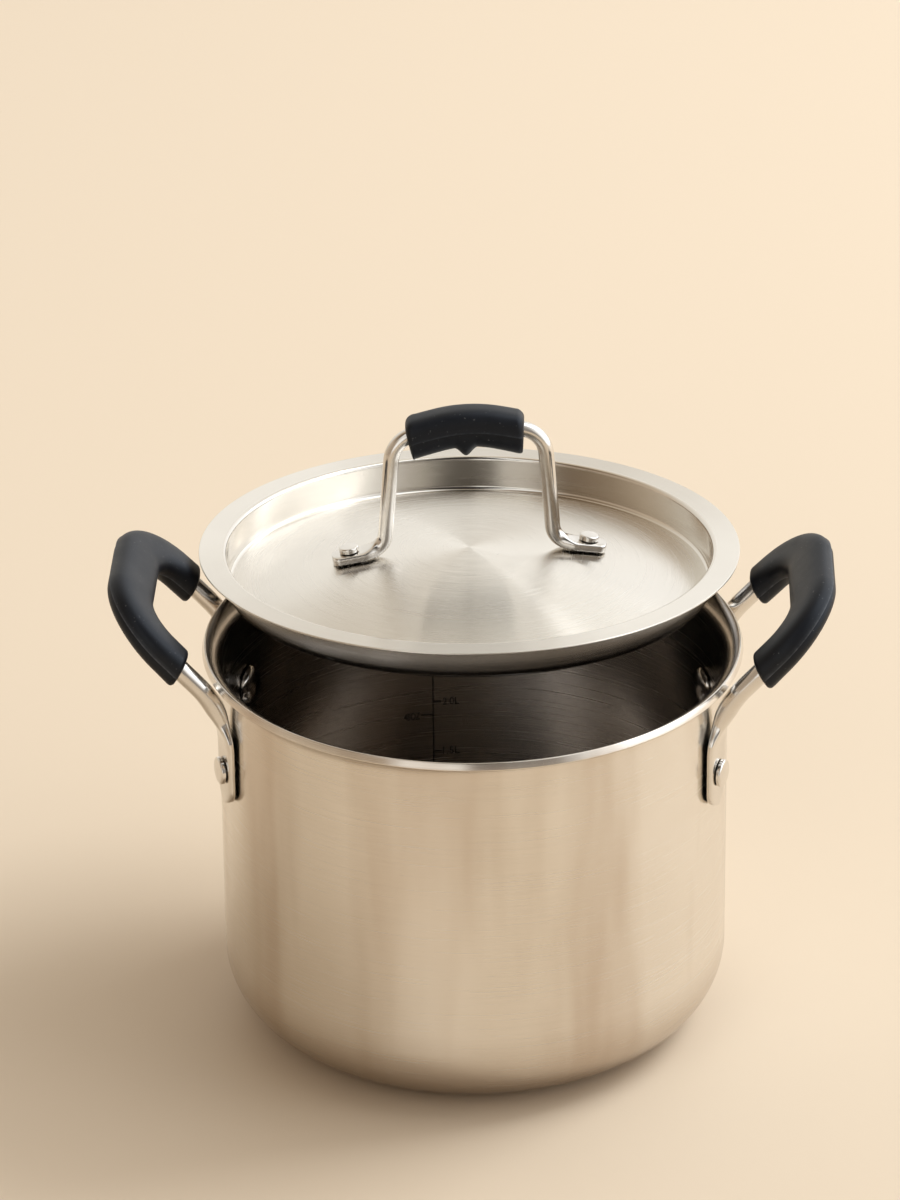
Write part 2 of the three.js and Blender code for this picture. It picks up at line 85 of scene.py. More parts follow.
# arc that rounds the corner b of a row a, b, c: its centre is on the inner bisector, radius / cos(half turn)
# from b
def roundCorner(a, b, c, radius, steps):
    a, b, c = np.array(a, float), np.array(b, float), np.array(c, float)
    into, out = unit(b - a), unit(c - b)
    half = np.arccos(np.clip(into @ out, -1, 1)) / 2
    t = np.linspace(-half, half, steps + 1)[:, None]
    inward, across = unit(out - into), unit(into + out)
    centre = b + inward * radius / np.cos(half)
    return centre - radius * (np.cos(t) * inward - np.sin(t) * across)


# surface of revolution: ring i, step j = (r_i cos a_j, r_i sin a_j, z_i), closed on the axis at both ends
def revolve(profile, around):
    a = np.linspace(0, 2 * np.pi, around, endpoint=False)
    r, z = profile[1:-1, 0, None], profile[1:-1, 1, None]
    rings = np.stack(np.broadcast_arrays(r * np.cos(a), r * np.sin(a), z), -1)
    along = np.r_[0, np.cumsum(np.linalg.norm(np.diff(profile, axis=0), axis=1))]
    ends = [[0, 0, profile[0, 1]], [0, 0, profile[-1, 1]]]
    return {"rings": rings, "ends": np.array(ends, float), "along": along, "angles": a}


# closed surface through a row of rings: each end is closed by the mean point of its ring
def skin(rings, along):
    ends = np.stack([rings[0].mean(0), rings[-1].mean(0)])
    a = np.linspace(0, 2 * np.pi, rings.shape[1], endpoint=False)
    return {"rings": rings, "ends": ends, "along": np.r_[along[0], along, along[-1]], "angles": a}


# tube wall: outer rings one way and bore rings back, closed into a ring of rings
def sleeve(outer, bore, along):
    rings = np.concatenate([outer, bore[::-1]])
    a = np.linspace(0, 2 * np.pi, rings.shape[1], endpoint=False)
    return {"rings": rings, "ends": None, "along": np.r_[along, along[::-1]], "angles": a}


# points, faces, corner coordinates and brush attribute of one grid: quad i, j joins steps j and j + 1 of rings
# i and i + 1, and a fan of triangles closes each end
def gridArrays(grid):
    rings, ends = grid["rings"], grid["ends"]
    n, m = rings.shape[:2]
    rows = n if ends is None else n - 1
    i, j = np.meshgrid(np.arange(rows), np.arange(m), indexing="ij")
    k, up = (j + 1) % m, (i + 1) % n
    quads = np.stack([i * m + j, i * m + k, up * m + k, up * m + j], -1).reshape(-1, 4)
    s = np.asarray(grid["along"], float) * mm
    s = s if ends is None else s[1:-1]
    u = np.stack([j, j + 1, j + 1, j], -1).reshape(-1, 4) / m
    v = np.stack([s[i], s[i], s[up], s[up]], -1).reshape(-1, 4)
    points = rings.reshape(-1, 3)
    ring = np.stack([np.cos(grid["angles"]), np.sin(grid["angles"])], -1)
    brush = np.concatenate([np.repeat(s, m)[:, None], np.tile(ring, (n, 1)) * brushRing], 1)
    tris = np.zeros((0, 3), int)
    uvTris = np.zeros((0, 3, 2))
    if ends is not None:
        j = np.arange(m)
        k = (j + 1) % m
        first = np.stack([np.full(m, n * m), k, j], -1)
        last = np.stack([np.full(m, n * m + 1), (n - 1) * m + j, (n - 1) * m + k], -1)
        tris = np.concatenate([first, last])
        ends0, ends1 = grid["along"][0] * mm, grid["along"][-1] * mm
        uFirst = np.stack([j + 0.5, j + 1, j], -1) / m
        uLast = np.stack([j + 0.5, j, j + 1], -1) / m
        vFirst = np.stack([np.full(m, ends0), np.full(m, s[0]), np.full(m, s[0])], -1)
        vLast = np.stack([np.full(m, ends1), np.full(m, s[-1]), np.full(m, s[-1])], -1)
        uvTris = np.concatenate([np.stack([uFirst, vFirst], -1), np.stack([uLast, vLast], -1)])
        points = np.concatenate([points, ends])
        brush = np.concatenate([brush, [[ends0, 0, 0], [ends1, 0, 0]]])
    return points, quads, tris, np.stack([u, v], -1), uvTris, brush


# one mesh object from closed grids: place is a 4 x 4 turn and shift in millimetres
def addPiece(name, grids, place, body, materials, sharp=40, zones=None):
    points, quads, tris, uvQuads, uvTris, brush, start = [], [], [], [], [], [], 0
    for grid in grids:
        p, q, t, uq, ut, b = gridArrays(grid)
        points.append(p)
        quads.append(q + start)
        tris.append(t + start)
        uvQuads.append(uq)
        uvTris.append(ut)
        brush.append(b)
        start += len(p)
    points = np.concatenate(points) @ place[:3, :3].T + place[:3, 3]
    quads, tris = np.concatenate(quads), np.concatenate(tris)
    uv = np.concatenate([np.concatenate(uvQuads).reshape(-1, 2), np.concatenate(uvTris).reshape(-1, 2)])
    loops = np.concatenate([quads.ravel(), tris.ravel()])
    sizes = np.concatenate([np.full(len(quads), 4), np.full(len(tris), 3)])
    mesh = bpy.data.meshes.new(name)
    mesh.vertices.add(len(points))
    mesh.loops.add(len(loops))
    mesh.polygons.add(len(sizes))
    mesh.vertices.foreach_set("co", (points * mm).astype(np.float32).ravel())
    mesh.loops.foreach_set("vertex_index", loops.astype(np.int32))
    mesh.polygons.foreach_set("loop_start", np.r_[0, np.cumsum(sizes)[:-1]].astype(np.int32))
    mesh.polygons.foreach_set("use_smooth", np.ones(len(sizes), bool))
    mesh.update(calc_edges=True)
    mesh.uv_layers.new(name="UVMap").data.foreach_set("uv", uv.astype(np.float32).ravel())
    mesh.attributes.new("brush", "FLOAT_VECTOR", "POINT").data.foreach_set(
        "vector", np.concatenate(brush).astype(np.float32).ravel())
    for material in materials:
        mesh.materials.append(material)
    if zones is not None:  # one per quad; the first fan has material 0, the last fan the last quad's
        zone = np.concatenate([zones, np.zeros(len(tris), int)])
        zone[-(len(tris) // 2):] = zones[-1]
        mesh.polygons.foreach_set("material_index", zone.astype(np.int32))
    mesh.set_sharp_from_angle(angle=rad(sharp))
    mesh.validate()
    piece = bpy.data.objects.new(name, mesh)
    bpy.context.scene.collection.objects.link(piece)
    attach(piece, body)
    return piece


def turnZ(degrees):
    c, s = np.cos(rad(degrees)), np.sin(rad(degrees))
    return np.array([[c, -s, 0, 0], [s, c, 0, 0], [0, 0, 1, 0], [0, 0, 0, 1.0]])


def turnX(degrees):
    c, s = np.cos(rad(degrees)), np.sin(rad(degrees))
    return np.array([[1, 0, 0, 0], [0, c, -s, 0], [0, s, c, 0], [0, 0, 0, 1.0]])


def shift(x, y, z):
    place = np.eye(4)
    place[:3, 3] = x, y, z
    return place


# turn and shift that stand a piece built along Z on a point, along an axis
def standOn(point, axis):
    axis = unit(np.array(axis, float))
    nearY = 0.9  # with more of the axis than this along Y, X is the helper
    side = np.array([0.0, 1, 0]) if abs(axis[1]) < nearY else np.array([1.0, 0, 0])
    x = unit(np.cross(side, axis))
    place = np.eye(4)
    place[:3, 0], place[:3, 1], place[:3, 2], place[:3, 3] = x, np.cross(axis, x), axis, point
    return place


# straight runs between corners, each inner corner rounded by its own bend radius: the bend starts and ends
# radius tan(half turn) from the corner
def bentPath(corners, bends):
    corners = np.array(corners, float)
    runs, start = [], corners[0]
    for bend, before, corner, after in zip(bends, corners, corners[1:], corners[2:]):
        into, out = unit(corner - before), unit(after - corner)
        sweep = np.arccos(np.clip(into @ out, -1, 1))
        setBack = bend * np.tan(sweep / 2)
        end, axis = corner - into * setBack, unit(np.cross(into, out))
        straight = np.linalg.norm(end - start)
        runs.append({"start": start, "into": into, "length": straight, "bend": 0, "axis": axis})
        runs.append({"start": end, "into": into, "length": bend * sweep, "bend": bend, "axis": axis})
        start = corner + out * setBack
    last, straight = unit(corners[-1] - start), np.linalg.norm(corners[-1] - start)
    runs.append({"start": start, "into": last, "length": straight, "bend": 0, "axis": last})
    ends = np.r_[0, np.cumsum([run["length"] for run in runs])]
    return runs, ends


# points and directions at distances along the runs: on a bend, the point is
# start + radius (sin a into + (1 - cos a) inward)
def pathAt(path, distances):
    runs, ends = path
    which = np.clip(np.searchsorted(ends, distances, side="right") - 1, 0, len(runs) - 1)
    points, along = np.zeros((len(distances), 3)), np.zeros((len(distances), 3))
    for k, run in enumerate(runs):
        on = which == k
        d = (distances[on] - ends[k])[:, None]
        if run["bend"] == 0:
            points[on], along[on] = run["start"] + d * run["into"], run["into"]
        else:
            a, inward = d / run["bend"], np.cross(run["axis"], run["into"])
            points[on] = run["start"] + run["bend"] * (np.sin(a) * run["into"] + (1 - np.cos(a)) * inward)
            along[on] = np.cos(a) * run["into"] + np.sin(a) * inward
    return points, along


# normals carried along a path without twisting: each is the last one made square to the new direction
def carryNormals(along, first):
    normals, normal = np.zeros_like(along), np.array(first, float)
    for k, direction in enumerate(along):
        normal = unit(normal - direction * (normal @ direction))
        normals[k] = normal
    return normals


# rings of a section carried along a path: point + across side + up normal + (rake up + skew across) along
def carrySection(path, distances, first, across, up, rake=0, skew=0):
    points, along = pathAt(path, distances)
    normals = carryNormals(along, first)
    sides = np.cross(normals, along)
    lean = np.broadcast_to(np.asarray(rake, float), (len(distances),))[:, None]
    lift = up[:, :, None] * normals[:, None] + (lean * up + skew * across)[:, :, None] * along[:, None]
    return points[:, None] + across[:, :, None] * sides[:, None] + lift


# superellipse row by row: across = width sign(c)|c|^(2/power), up the same with its own top and bottom
def superRows(halfWidth, top, bottom, power, sides):
    a = np.linspace(0, 2 * np.pi, sides, endpoint=False)
    c, s = np.cos(a), np.sin(a)
    q = 2 / np.asarray(power, float)[:, None]
    across = np.sign(c) * np.abs(c) ** q * np.asarray(halfWidth)[:, None]
    up = np.sign(s) * np.abs(s) ** q * np.where(s > 0, np.asarray(top)[:, None], np.asarray(bottom)[:, None])
    return across, up


# rings of a half path and then their mirror in y, with the distances carried on to the far end
def mirrorRings(rings, along):
    total = 2 * along[-1]
    other = rings[:-1][::-1] * np.array([1, -1, 1])
    return np.concatenate([rings, other]), np.r_[along, (total - along[:-1])[::-1]]


print("helpers ready")


# Materials
def newMaterial(name):
    material = bpy.data.materials.new(name)
    material.use_nodes = True
    tree = material.node_tree
    return material, tree, tree.nodes["Principled BSDF"]


def noise(tree, vector, scale, detail, roughness):
    node = tree.nodes.new("ShaderNodeTexNoise")
    node.inputs["Scale"].default_value = scale
    node.inputs["Detail"].default_value = detail
    node.inputs["Roughness"].default_value = roughness
    tree.links.new(vector, node.inputs["Vector"])
    return node.outputs["Fac"]


def remap(tree, value, source, result=(0, 1)):  # straight line from the source range to the result range
    node = tree.nodes.new("ShaderNodeMapRange")
    for key, number in zip(("From Min", "From Max", "To Min", "To Max"), (*source, *result)):
        node.inputs[key].default_value = number
    tree.links.new(value, node.inputs["Value"])
    return node.outputs["Result"]


def blendColours(tree, factor, a, b):
    node = tree.nodes.new("ShaderNodeMix")
    node.data_type = "RGBA"
    node.inputs["A"].default_value = (*a, 1)
    node.inputs["B"].default_value = (*b, 1)
    tree.links.new(factor, node.inputs["Factor"])
    return node.outputs["Result"]


def overlay(tree, factor, under, colour):  # a plain colour over what is there, by a factor
    node = tree.nodes.new("ShaderNodeMix")
    node.data_type = "RGBA"
    tree.links.new(factor, node.inputs["Factor"])
    tree.links.new(under, node.inputs["A"])
    node.inputs["B"].default_value = (*colour, 1)
    return node.outputs["Result"]


def stretched(tree, scale):  # the brush attribute, distance along the piece and a circle round it, scaled
    source = tree.nodes.new("ShaderNodeAttribute")
    source.attribute_name = "brush"
    node = tree.nodes.new("ShaderNodeMapping")
    node.inputs["Scale"].default_value = scale
    tree.links.new(source.outputs["Vector"], node.inputs["Vector"])
    return node.outputs["Vector"]


# what all the steels share: detail and roughness of each noise, the ranges of it that are used, the turn of the
# stretched gloss, and the bump's depth in metres
brushed = {"fineNoise": (4, 0.65), "broadNoise": (2, 0.5), "patchNoise": (4, 0.6), "drawNoise": (3, 0.45),
           "drawBend": 0.3, "drawBand": (0.44, 0.74), "patchTint": (0.35, 0.7), "patchRough": (0.3, 0.75),
           "fineRough": (0.25, 0.75), "turn": 0.25, "depth": 0.0002}


# steel: fine lines across the piece's length drive roughness and bump, wide soft patches the tint
def steel(name, finish):
    material, tree, shader = newMaterial(name)
    shader.inputs["Metallic"].default_value = 1
    shader.inputs["Anisotropic"].default_value = finish["stretch"]
    shader.inputs["Anisotropic Rotation"].default_value = brushed["turn"]
    tangent = tree.nodes.new("ShaderNodeTangent")
    tangent.direction_type = "UV_MAP"
    tangent.uv_map = "UVMap"
    tree.links.new(tangent.outputs["Tangent"], shader.inputs["Tangent"])
    fine = noise(tree, stretched(tree, finish["fine"]), 1, *brushed["fineNoise"])
    broad = noise(tree, stretched(tree, finish["broad"]), 1, *brushed["broadNoise"])
    place = tree.nodes.new("ShaderNodeTexCoord").outputs["Object"]
    patch = noise(tree, place, finish["patch"], *brushed["patchNoise"])
    tint = blendColours(tree, remap(tree, patch, brushed["patchTint"]), finish["tint"], finish["dull"])
    if "draw" in finish:  # painted reflection: soft brown bands up the wall stand in for the reflected floor; painted shade: the steel is darker towards the foot
        paintedStreak = noise(tree, stretched(tree, finish["draw"]), 1, *brushed["drawNoise"])
        paintedStreak.node.inputs["Distortion"].default_value = brushed["drawBend"]
        tint = overlay(tree, remap(tree, paintedStreak, brushed["drawBand"]), tint, finish["drawn"])
        # painted shade: the tint fades to a dark colour from the floor up, standing in for the dark floor
        # reflected under the corner
        height = tree.nodes.new("ShaderNodeSeparateXYZ")
        tree.links.new(place, height.inputs[0])
        foot = remap(tree, height.outputs["Z"], finish["footShadeFade"], (1, 0))
        tint = overlay(tree, foot, tint, finish["foot"])
    tree.links.new(tint, shader.inputs["Base Color"])
    add = tree.nodes.new("ShaderNodeMath")
    add.operation = "ADD"
    tree.links.new(remap(tree, fine, brushed["fineRough"], finish["rough"]), add.inputs[0])
    tree.links.new(remap(tree, patch, brushed["patchRough"], (0, finish["smear"])), add.inputs[1])
    tree.links.new(add.outputs[0], shader.inputs["Roughness"])
    lines = tree.nodes.new("ShaderNodeMath")
    lines.operation = "ADD"
    tree.links.new(fine, lines.inputs[0])
    tree.links.new(broad, lines.inputs[1])
    bump = tree.nodes.new("ShaderNodeBump")
    bump.inputs["Strength"].default_value = finish["bump"]
    bump.inputs["Distance"].default_value = brushed["depth"]
    tree.links.new(lines.outputs[0], bump.inputs["Height"])
    tree.links.new(bump.outputs["Normal"], shader.inputs["Normal"])
    return material


# rubber: near black, fine moulded grain, cloudy handling marks, a few pale specks of dust, and a pale line
# along the parting ledge that is partly wear and partly painted highlight
def rubber(name, look):
    material, tree, shader = newMaterial(name)
    shader.inputs["Specular IOR Level"].default_value = look["gloss"]
    shader.inputs["Specular Tint"].default_value = (*look["glossTint"], 1)
    place = tree.nodes.new("ShaderNodeTexCoord").outputs["Object"]
    cloud = noise(tree, place, *look["cloudNoise"])
    speck = noise(tree, place, *look["speckNoise"])
    grain = noise(tree, place, *look["grainNoise"])
    base = blendColours(tree, remap(tree, cloud, look["cloudTint"]), look["dark"], look["worn"])
    dusty = overlay(tree, remap(tree, speck, look["speckBand"], (0, look["dust"])), base, look["speck"])
    wearAndGlint = tree.nodes.new("ShaderNodeAttribute")  # pale along the parting ledge: partly wear, partly painted highlight of the edge catching light
    wearAndGlint.attribute_name = "wearAndGlint"
    wornGlint = tree.nodes.new("ShaderNodeMath")
    wornGlint.operation = "MULTIPLY"
    tree.links.new(wearAndGlint.outputs["Fac"], wornGlint.inputs[0])
    patchy = noise(tree, place, *look["wearGlintNoise"])
    tree.links.new(remap(tree, patchy, look["wearGlintBand"], look["wearGlintShare"]), wornGlint.inputs[1])
    tree.links.new(overlay(tree, wornGlint.outputs[0], dusty, look["wornGlint"]), shader.inputs["Base Color"])
    tree.links.new(remap(tree, cloud, look["cloudRough"], look["rough"]), shader.inputs["Roughness"])
    bump = tree.nodes.new("ShaderNodeBump")
    bump.inputs["Strength"].default_value = look["grain"]
    bump.inputs["Distance"].default_value = look["depth"]
    tree.links.new(grain, bump.inputs["Height"])
    tree.links.new(bump.outputs["Normal"], shader.inputs["Normal"])
    return material


# ink: dark grey print, a little worn
def ink(name, look):
    material, tree, shader = newMaterial(name)
    place = tree.nodes.new("ShaderNodeTexCoord").outputs["Object"]
    worn = remap(tree, noise(tree, place, *look["wornNoise"]), look["wornBand"])
    tree.links.new(blendColours(tree, worn, look["dark"], look["worn"]), shader.inputs["Base Color"])
    tree.links.new(remap(tree, worn, (0, 1), look["rough"]), shader.inputs["Roughness"])
    return material


# fine and broad are scales along the piece and round it, and so is the scale of the painted reflection bands
finishes = {
    # the brown band colour of the outside is a painted reflection
    "potOutside": {"tint": (0.8, 0.765, 0.715), "dull": (0.75, 0.705, 0.645), "rough": (0.1, 0.3),
                   "smear": 0.03, "fine": (3600, 60, 60), "broad": (700, 30, 30), "patch": 14, "bump": 0.02,
                   "stretch": 0.8, "draw": (4, 95, 95), "drawn": (0.55, 0.465, 0.385),
                   # the dark colour towards the foot is painted shade
                   "footShadeFade": (0.002, 0.034), "foot": (0.44, 0.36, 0.285)},
    "potInside": {"tint": (0.56, 0.52, 0.48), "dull": (0.5, 0.46, 0.42), "rough": (0.1, 0.3),
                  "smear": 0.03, "fine": (2600, 30, 30), "broad": (420, 15, 15), "patch": 16, "bump": 0.04,
                  "stretch": 0.6},
    "rod": {"tint": (0.76, 0.73, 0.69), "dull": (0.68, 0.65, 0.61), "rough": (0.1, 0.18),
            "smear": 0.04, "fine": (900, 900, 900), "broad": (160, 160, 160), "patch": 60, "bump": 0.03,
            "stretch": 0.3},
    "rivet": {"tint": (0.78, 0.75, 0.71), "dull": (0.7, 0.67, 0.63), "rough": (0.08, 0.13),
              "smear": 0.04, "fine": (2500, 60, 60), "broad": (500, 30, 30), "patch": 120, "bump": 0.01,
              "stretch": 0.2},
    "lidDome": {"tint": (0.79, 0.755, 0.7), "dull": (0.74, 0.705, 0.65), "rough": (0.17, 0.29),
                "smear": 0.03, "fine": (2200, 45, 45), "broad": (420, 20, 20), "patch": 14, "bump": 0.05,
                "stretch": 1.0},
    "lidWall": {"tint": (0.76, 0.72, 0.66), "dull": (0.7, 0.66, 0.6), "rough": (0.1, 0.17),
                "smear": 0.02, "fine": (2600, 40, 40), "broad": (500, 20, 20), "patch": 14, "bump": 0.02,
                "stretch": 0.6},
    # the skirt's dark tint is painted shade: the lid's own steel made darker where it faces down into the pot
    "lidSkirtShaded": {"tint": (0.34, 0.325, 0.31), "dull": (0.3, 0.287, 0.272), "rough": (0.07, 0.15),
                 "smear": 0.02, "fine": (2600, 40, 40), "broad": (500, 20, 20), "patch": 14, "bump": 0.02,
                 "stretch": 0.7},
    "lidFlange": {"tint": (0.79, 0.755, 0.7), "dull": (0.73, 0.695, 0.64), "rough": (0.28, 0.36),
                  "smear": 0.03, "fine": (2600, 40, 40), "broad": (600, 20, 20), "patch": 14, "bump": 0.03,
                  "stretch": 0.85},
}
# each noise of the rubber and the ink is its scale, detail and roughness
rubberLook = {"dark": (0.003, 0.0032, 0.0052), "worn": (0.007, 0.0075, 0.0105), "rough": (0.4, 0.52),
              "gloss": 0.3, "glossTint": (0.82, 0.9, 1), "cloudNoise": (70, 5, 0.6),
              "cloudTint": (0.35, 0.7), "cloudRough": (0.3, 0.75), "dust": 0.35, "speck": (0.16, 0.155, 0.15),
              "speckNoise": (1100, 1, 0.3), "speckBand": (0.73, 0.8), "wornGlint": (0.075, 0.078, 0.085),
              "wearGlintNoise": (420, 3, 0.6), "wearGlintBand": (0.3, 0.65), "wearGlintShare": (0.35, 1), "grain": 0.1,
              "grainNoise": (3200, 2, 0.5), "depth": 0.00015}
inkLook = {"dark": (0.006, 0.005, 0.005), "worn": (0.03, 0.027, 0.025), "rough": (0.45, 0.65),
           "wornNoise": (900, 3, 0.6), "wornBand": (0.4, 0.75)}
potOutside = steel("pot_outside_steel", finishes["potOutside"])
potInside = steel("pot_inside_steel", finishes["potInside"])
rodSteel = steel("rod_steel", finishes["rod"])
rivetSteel = steel("rivet_steel", finishes["rivet"])
lidSteels = [steel("lid_dome_steel", finishes["lidDome"]), steel("lid_wall_steel", finishes["lidWall"]),
             steel("lid_flange_steel", finishes["lidFlange"]), steel("lid_skirt_shaded_steel", finishes["lidSkirtShaded"])]
gripRubber = rubber("grip_rubber", rubberLook)
scaleInk = ink("scale_ink", inkLook)
print("materials made")


# Pot body: base, bottom corner, wall, flared lip with a square-cut edge, and the same back inside
potBody = {"radius": 88.8, "height": 142.5, "wall": 1.9, "base": 3, "corner": 26, "lipReach": 5.5,
           "lipSweep": 78, "lipBead": 1.0, "beadFrom": 0.45, "edgeBack": 4, "edgeLean": 1.6,
           "edgeRound": 0.45, "hub": 2, "around": 320, "floorSteps": 10, "cornerSteps": 26, "wallSteps": 22,
           "underSteps": 18, "edgeSteps": 5, "overSteps": 20, "insideSteps": 24}


# one revolved profile: the lip is two arcs about one centre, lipReach / (1 - cos lipSweep) outside the wall,
# and the lower arc is drawn in by the bead towards its edge
def makePotBody(v):
    inner = v["radius"] - v["wall"]
    bend = v["lipReach"] / (1 - np.cos(rad(v["lipSweep"])))
    lipR, lipZ = v["radius"] + bend, v["height"] - (bend + v["wall"]) * np.sin(rad(v["lipSweep"]))
    lipEnd = 180 - v["lipSweep"] + v["edgeBack"]
    ease = np.degrees(v["edgeRound"] / (bend + v["wall"] / 2))
    under = arcRow(lipR, lipZ, bend, 180, lipEnd + ease, v["underSteps"])
    beadShare = smooth((np.linspace(0, 1, len(under)) - v["beadFrom"]) / (1 - v["beadFrom"]))
    thicker = 1 - v["lipBead"] / bend * beadShare
    under = [lipR, lipZ] + (under - [lipR, lipZ]) * thicker[:, None]  # the edge is rolled a little thicker
    over = arcRow(lipR, lipZ, bend + v["wall"], lipEnd + v["edgeLean"] + ease, 180, v["overSteps"])
    tipLow = arcPoint(lipR, lipZ, bend - v["lipBead"], lipEnd)
    tipHigh = arcPoint(lipR, lipZ, bend + v["wall"], lipEnd + v["edgeLean"])
    lower = roundCorner(under[-1], tipLow, tipHigh, v["edgeRound"], v["edgeSteps"])
    upper = roundCorner(tipLow, tipHigh, over[0], v["edgeRound"], v["edgeSteps"])
    insideCorner = v["corner"] - v["wall"]
    insideZ = v["base"] + insideCorner
    floorR = v["radius"] - v["corner"]
    outside = joinRows([[0, 0]], lineRow([v["hub"], 0], [floorR, 0], v["floorSteps"]),
                       arcRow(floorR, v["corner"], v["corner"], -90, 0, v["cornerSteps"]),
                       lineRow([v["radius"], v["corner"]], [v["radius"], lipZ], v["wallSteps"]),
                       under, lower, upper)
    inside = joinRows(over, lineRow([inner, lipZ], [inner, insideZ], v["wallSteps"]),
                      arcRow(floorR, insideZ, insideCorner, 0, -90, v["insideSteps"]),
                      lineRow([floorR, v["base"]], [v["hub"], v["base"]], v["floorSteps"]), [[0, v["base"]]])
    profile = joinRows(outside, inside)
    rows = np.array([len(outside) - 2, len(profile) - len(outside) - 1])
    zones = np.repeat([0, 1], rows * v["around"])
    piece = addPiece("pot_shell", [revolve(profile, v["around"])], np.eye(4), "pot",
                     [potOutside, potInside], zones=zones)
    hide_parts("pot_body")


makePotBody(potBody)
print("pot body made")


# Side handles: rod flattened into a round-nosed tab at each end, bent up, over the knee and round the loop
sideHandle = {"rod": 7, "tabWidth": 13.5, "tabThickness": 2.8, "tabBelowRivet": 12.3, "tabPower": 4,
              "noseLength": 6.75, "nosePower": 2.0, "noseStart": 0.06, "noseSteps": 16, "taper": 14,
              "shoulder": 7.5, "flatPastBend": 3.5, "rivetAngle": 21.3, "rivetHeight": 107.5,
              "bendRise": 22.2, "bendRadius": 36, "lean": 42.8, "legLength": 20.8, "kneeRadius": 28.8,
              "reach": 48.4, "barHalf": 30.8, "cornerRadius": 19.6, "gap": 0.3, "sides": 48, "spacing": 0.7}


def rivetAxis(v, side):  # level direction from the pot's axis to a rivet: (cos a, side sin a, 0)
    return np.array([np.cos(rad(v["rivetAngle"])), side * np.sin(rad(v["rivetAngle"])), 0])


# half of the rod's line: up the wall, out along the leaning leg, over the knee and round to the bar's middle
def handlePath(v):
    foot = rivetAxis(v, 1) * (potBody["radius"] + v["gap"] + v["tabThickness"] / 2)
    bend = foot + [0, 0, v["rivetHeight"] + v["bendRise"]]
    rise = np.array([np.sin(rad(v["lean"])), 0, np.cos(rad(v["lean"]))])
    bar = bend + rise * v["reach"]
    corners = [foot + [0, 0, v["rivetHeight"] - v["tabBelowRivet"]], bend, bend + rise * v["legLength"],
               [bar[0], v["barHalf"], bar[2]], [bar[0], 0, bar[2]]]
    return bentPath(corners, [v["bendRadius"], v["kneeRadius"], v["cornerRadius"]])


# distances over a rounded nose: length (1 - cos a), with a from just over 0 to 90 degrees
def noseRows(v):
    return v["noseLength"] * (1 - np.cos(np.linspace(v["noseStart"], np.pi / 2, v["noseSteps"])))


# half width, half thickness and power along a rod with a flattened end: the nose is a superellipse quarter,
# then the plate steps in to the rod over the shoulder while it thickens over the taper
def tabRows(distances, flatLength, v):
    rod, past = v["rod"] / 2, distances - flatLength
    fromNose = np.clip(distances / v["noseLength"], 0, 1)
    plate = v["tabWidth"] / 2 * (1 - (1 - fromNose) ** v["nosePower"]) ** (1 / v["nosePower"])
    t = smooth(past / v["taper"])
    halfWidth = mix(plate, rod, smooth(past / v["shoulder"]))
    return halfWidth, mix(v["tabThickness"] / 2, rod, t), mix(v["tabPower"], roundPower, t)


# superellipse rows carried from the nose to the bar's middle, then mirrored
def makeHandleBar(v, name, node, turn):
    path = handlePath(v)
    total = path[1][-1]
    nose = noseRows(v)
    d = np.r_[nose, np.linspace(nose[-1], total, int((total - nose[-1]) / v["spacing"]))[1:]]
    wide, half, power = tabRows(d, path[1][1] + v["flatPastBend"], v)
    across, up = superRows(wide, half, half, power, v["sides"])
    rings, along = mirrorRings(carrySection(path, d, rivetAxis(v, 1), across, up), d)
    piece = addPiece(name, [skin(rings, along)], turnZ(turn), "pot", [rodSteel])
    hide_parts(node)


for sideName, turn in (("right", 0), ("left", 180)):
    makeHandleBar(sideHandle, sideName + "_rod", sideName + "_handle_bar", turn)
print("side handles made")


# Grips: moulded sleeve, slim on the legs and full along the bar, with a parting ledge low on both sides
sideGrip = {"legWidth": 13.8, "legTop": 5.8, "legBottom": 6.2, "barWidth": 18.3, "barTop": 4.8,
            "barBottom": 5.6, "swellLead": 11.3, "swellShort": 2.5, "pastKnee": 2, "rake": 0.32,
            "rakeLength": 12, "power": 3.0, "underPower": 2.5, "ledgeDrop": 0.9, "ledgeStep": 0.7,
            "edgeRound": 1.9, "endSteps": 6, "clearance": 0.3, "sharp": 50, "sides": 64, "spacing": 0.7}
# every ledge: rows close above it as shares of the height, its bead, the drop under it and the height of its
# pale line of wear and painted highlight
ledge = {"rows": (0.015, 0.035, 0.06, 0.09), "bead": 0.12, "beadHeight": 0.35, "under": 0.12,
         "wearGlintHeight": 0.5}


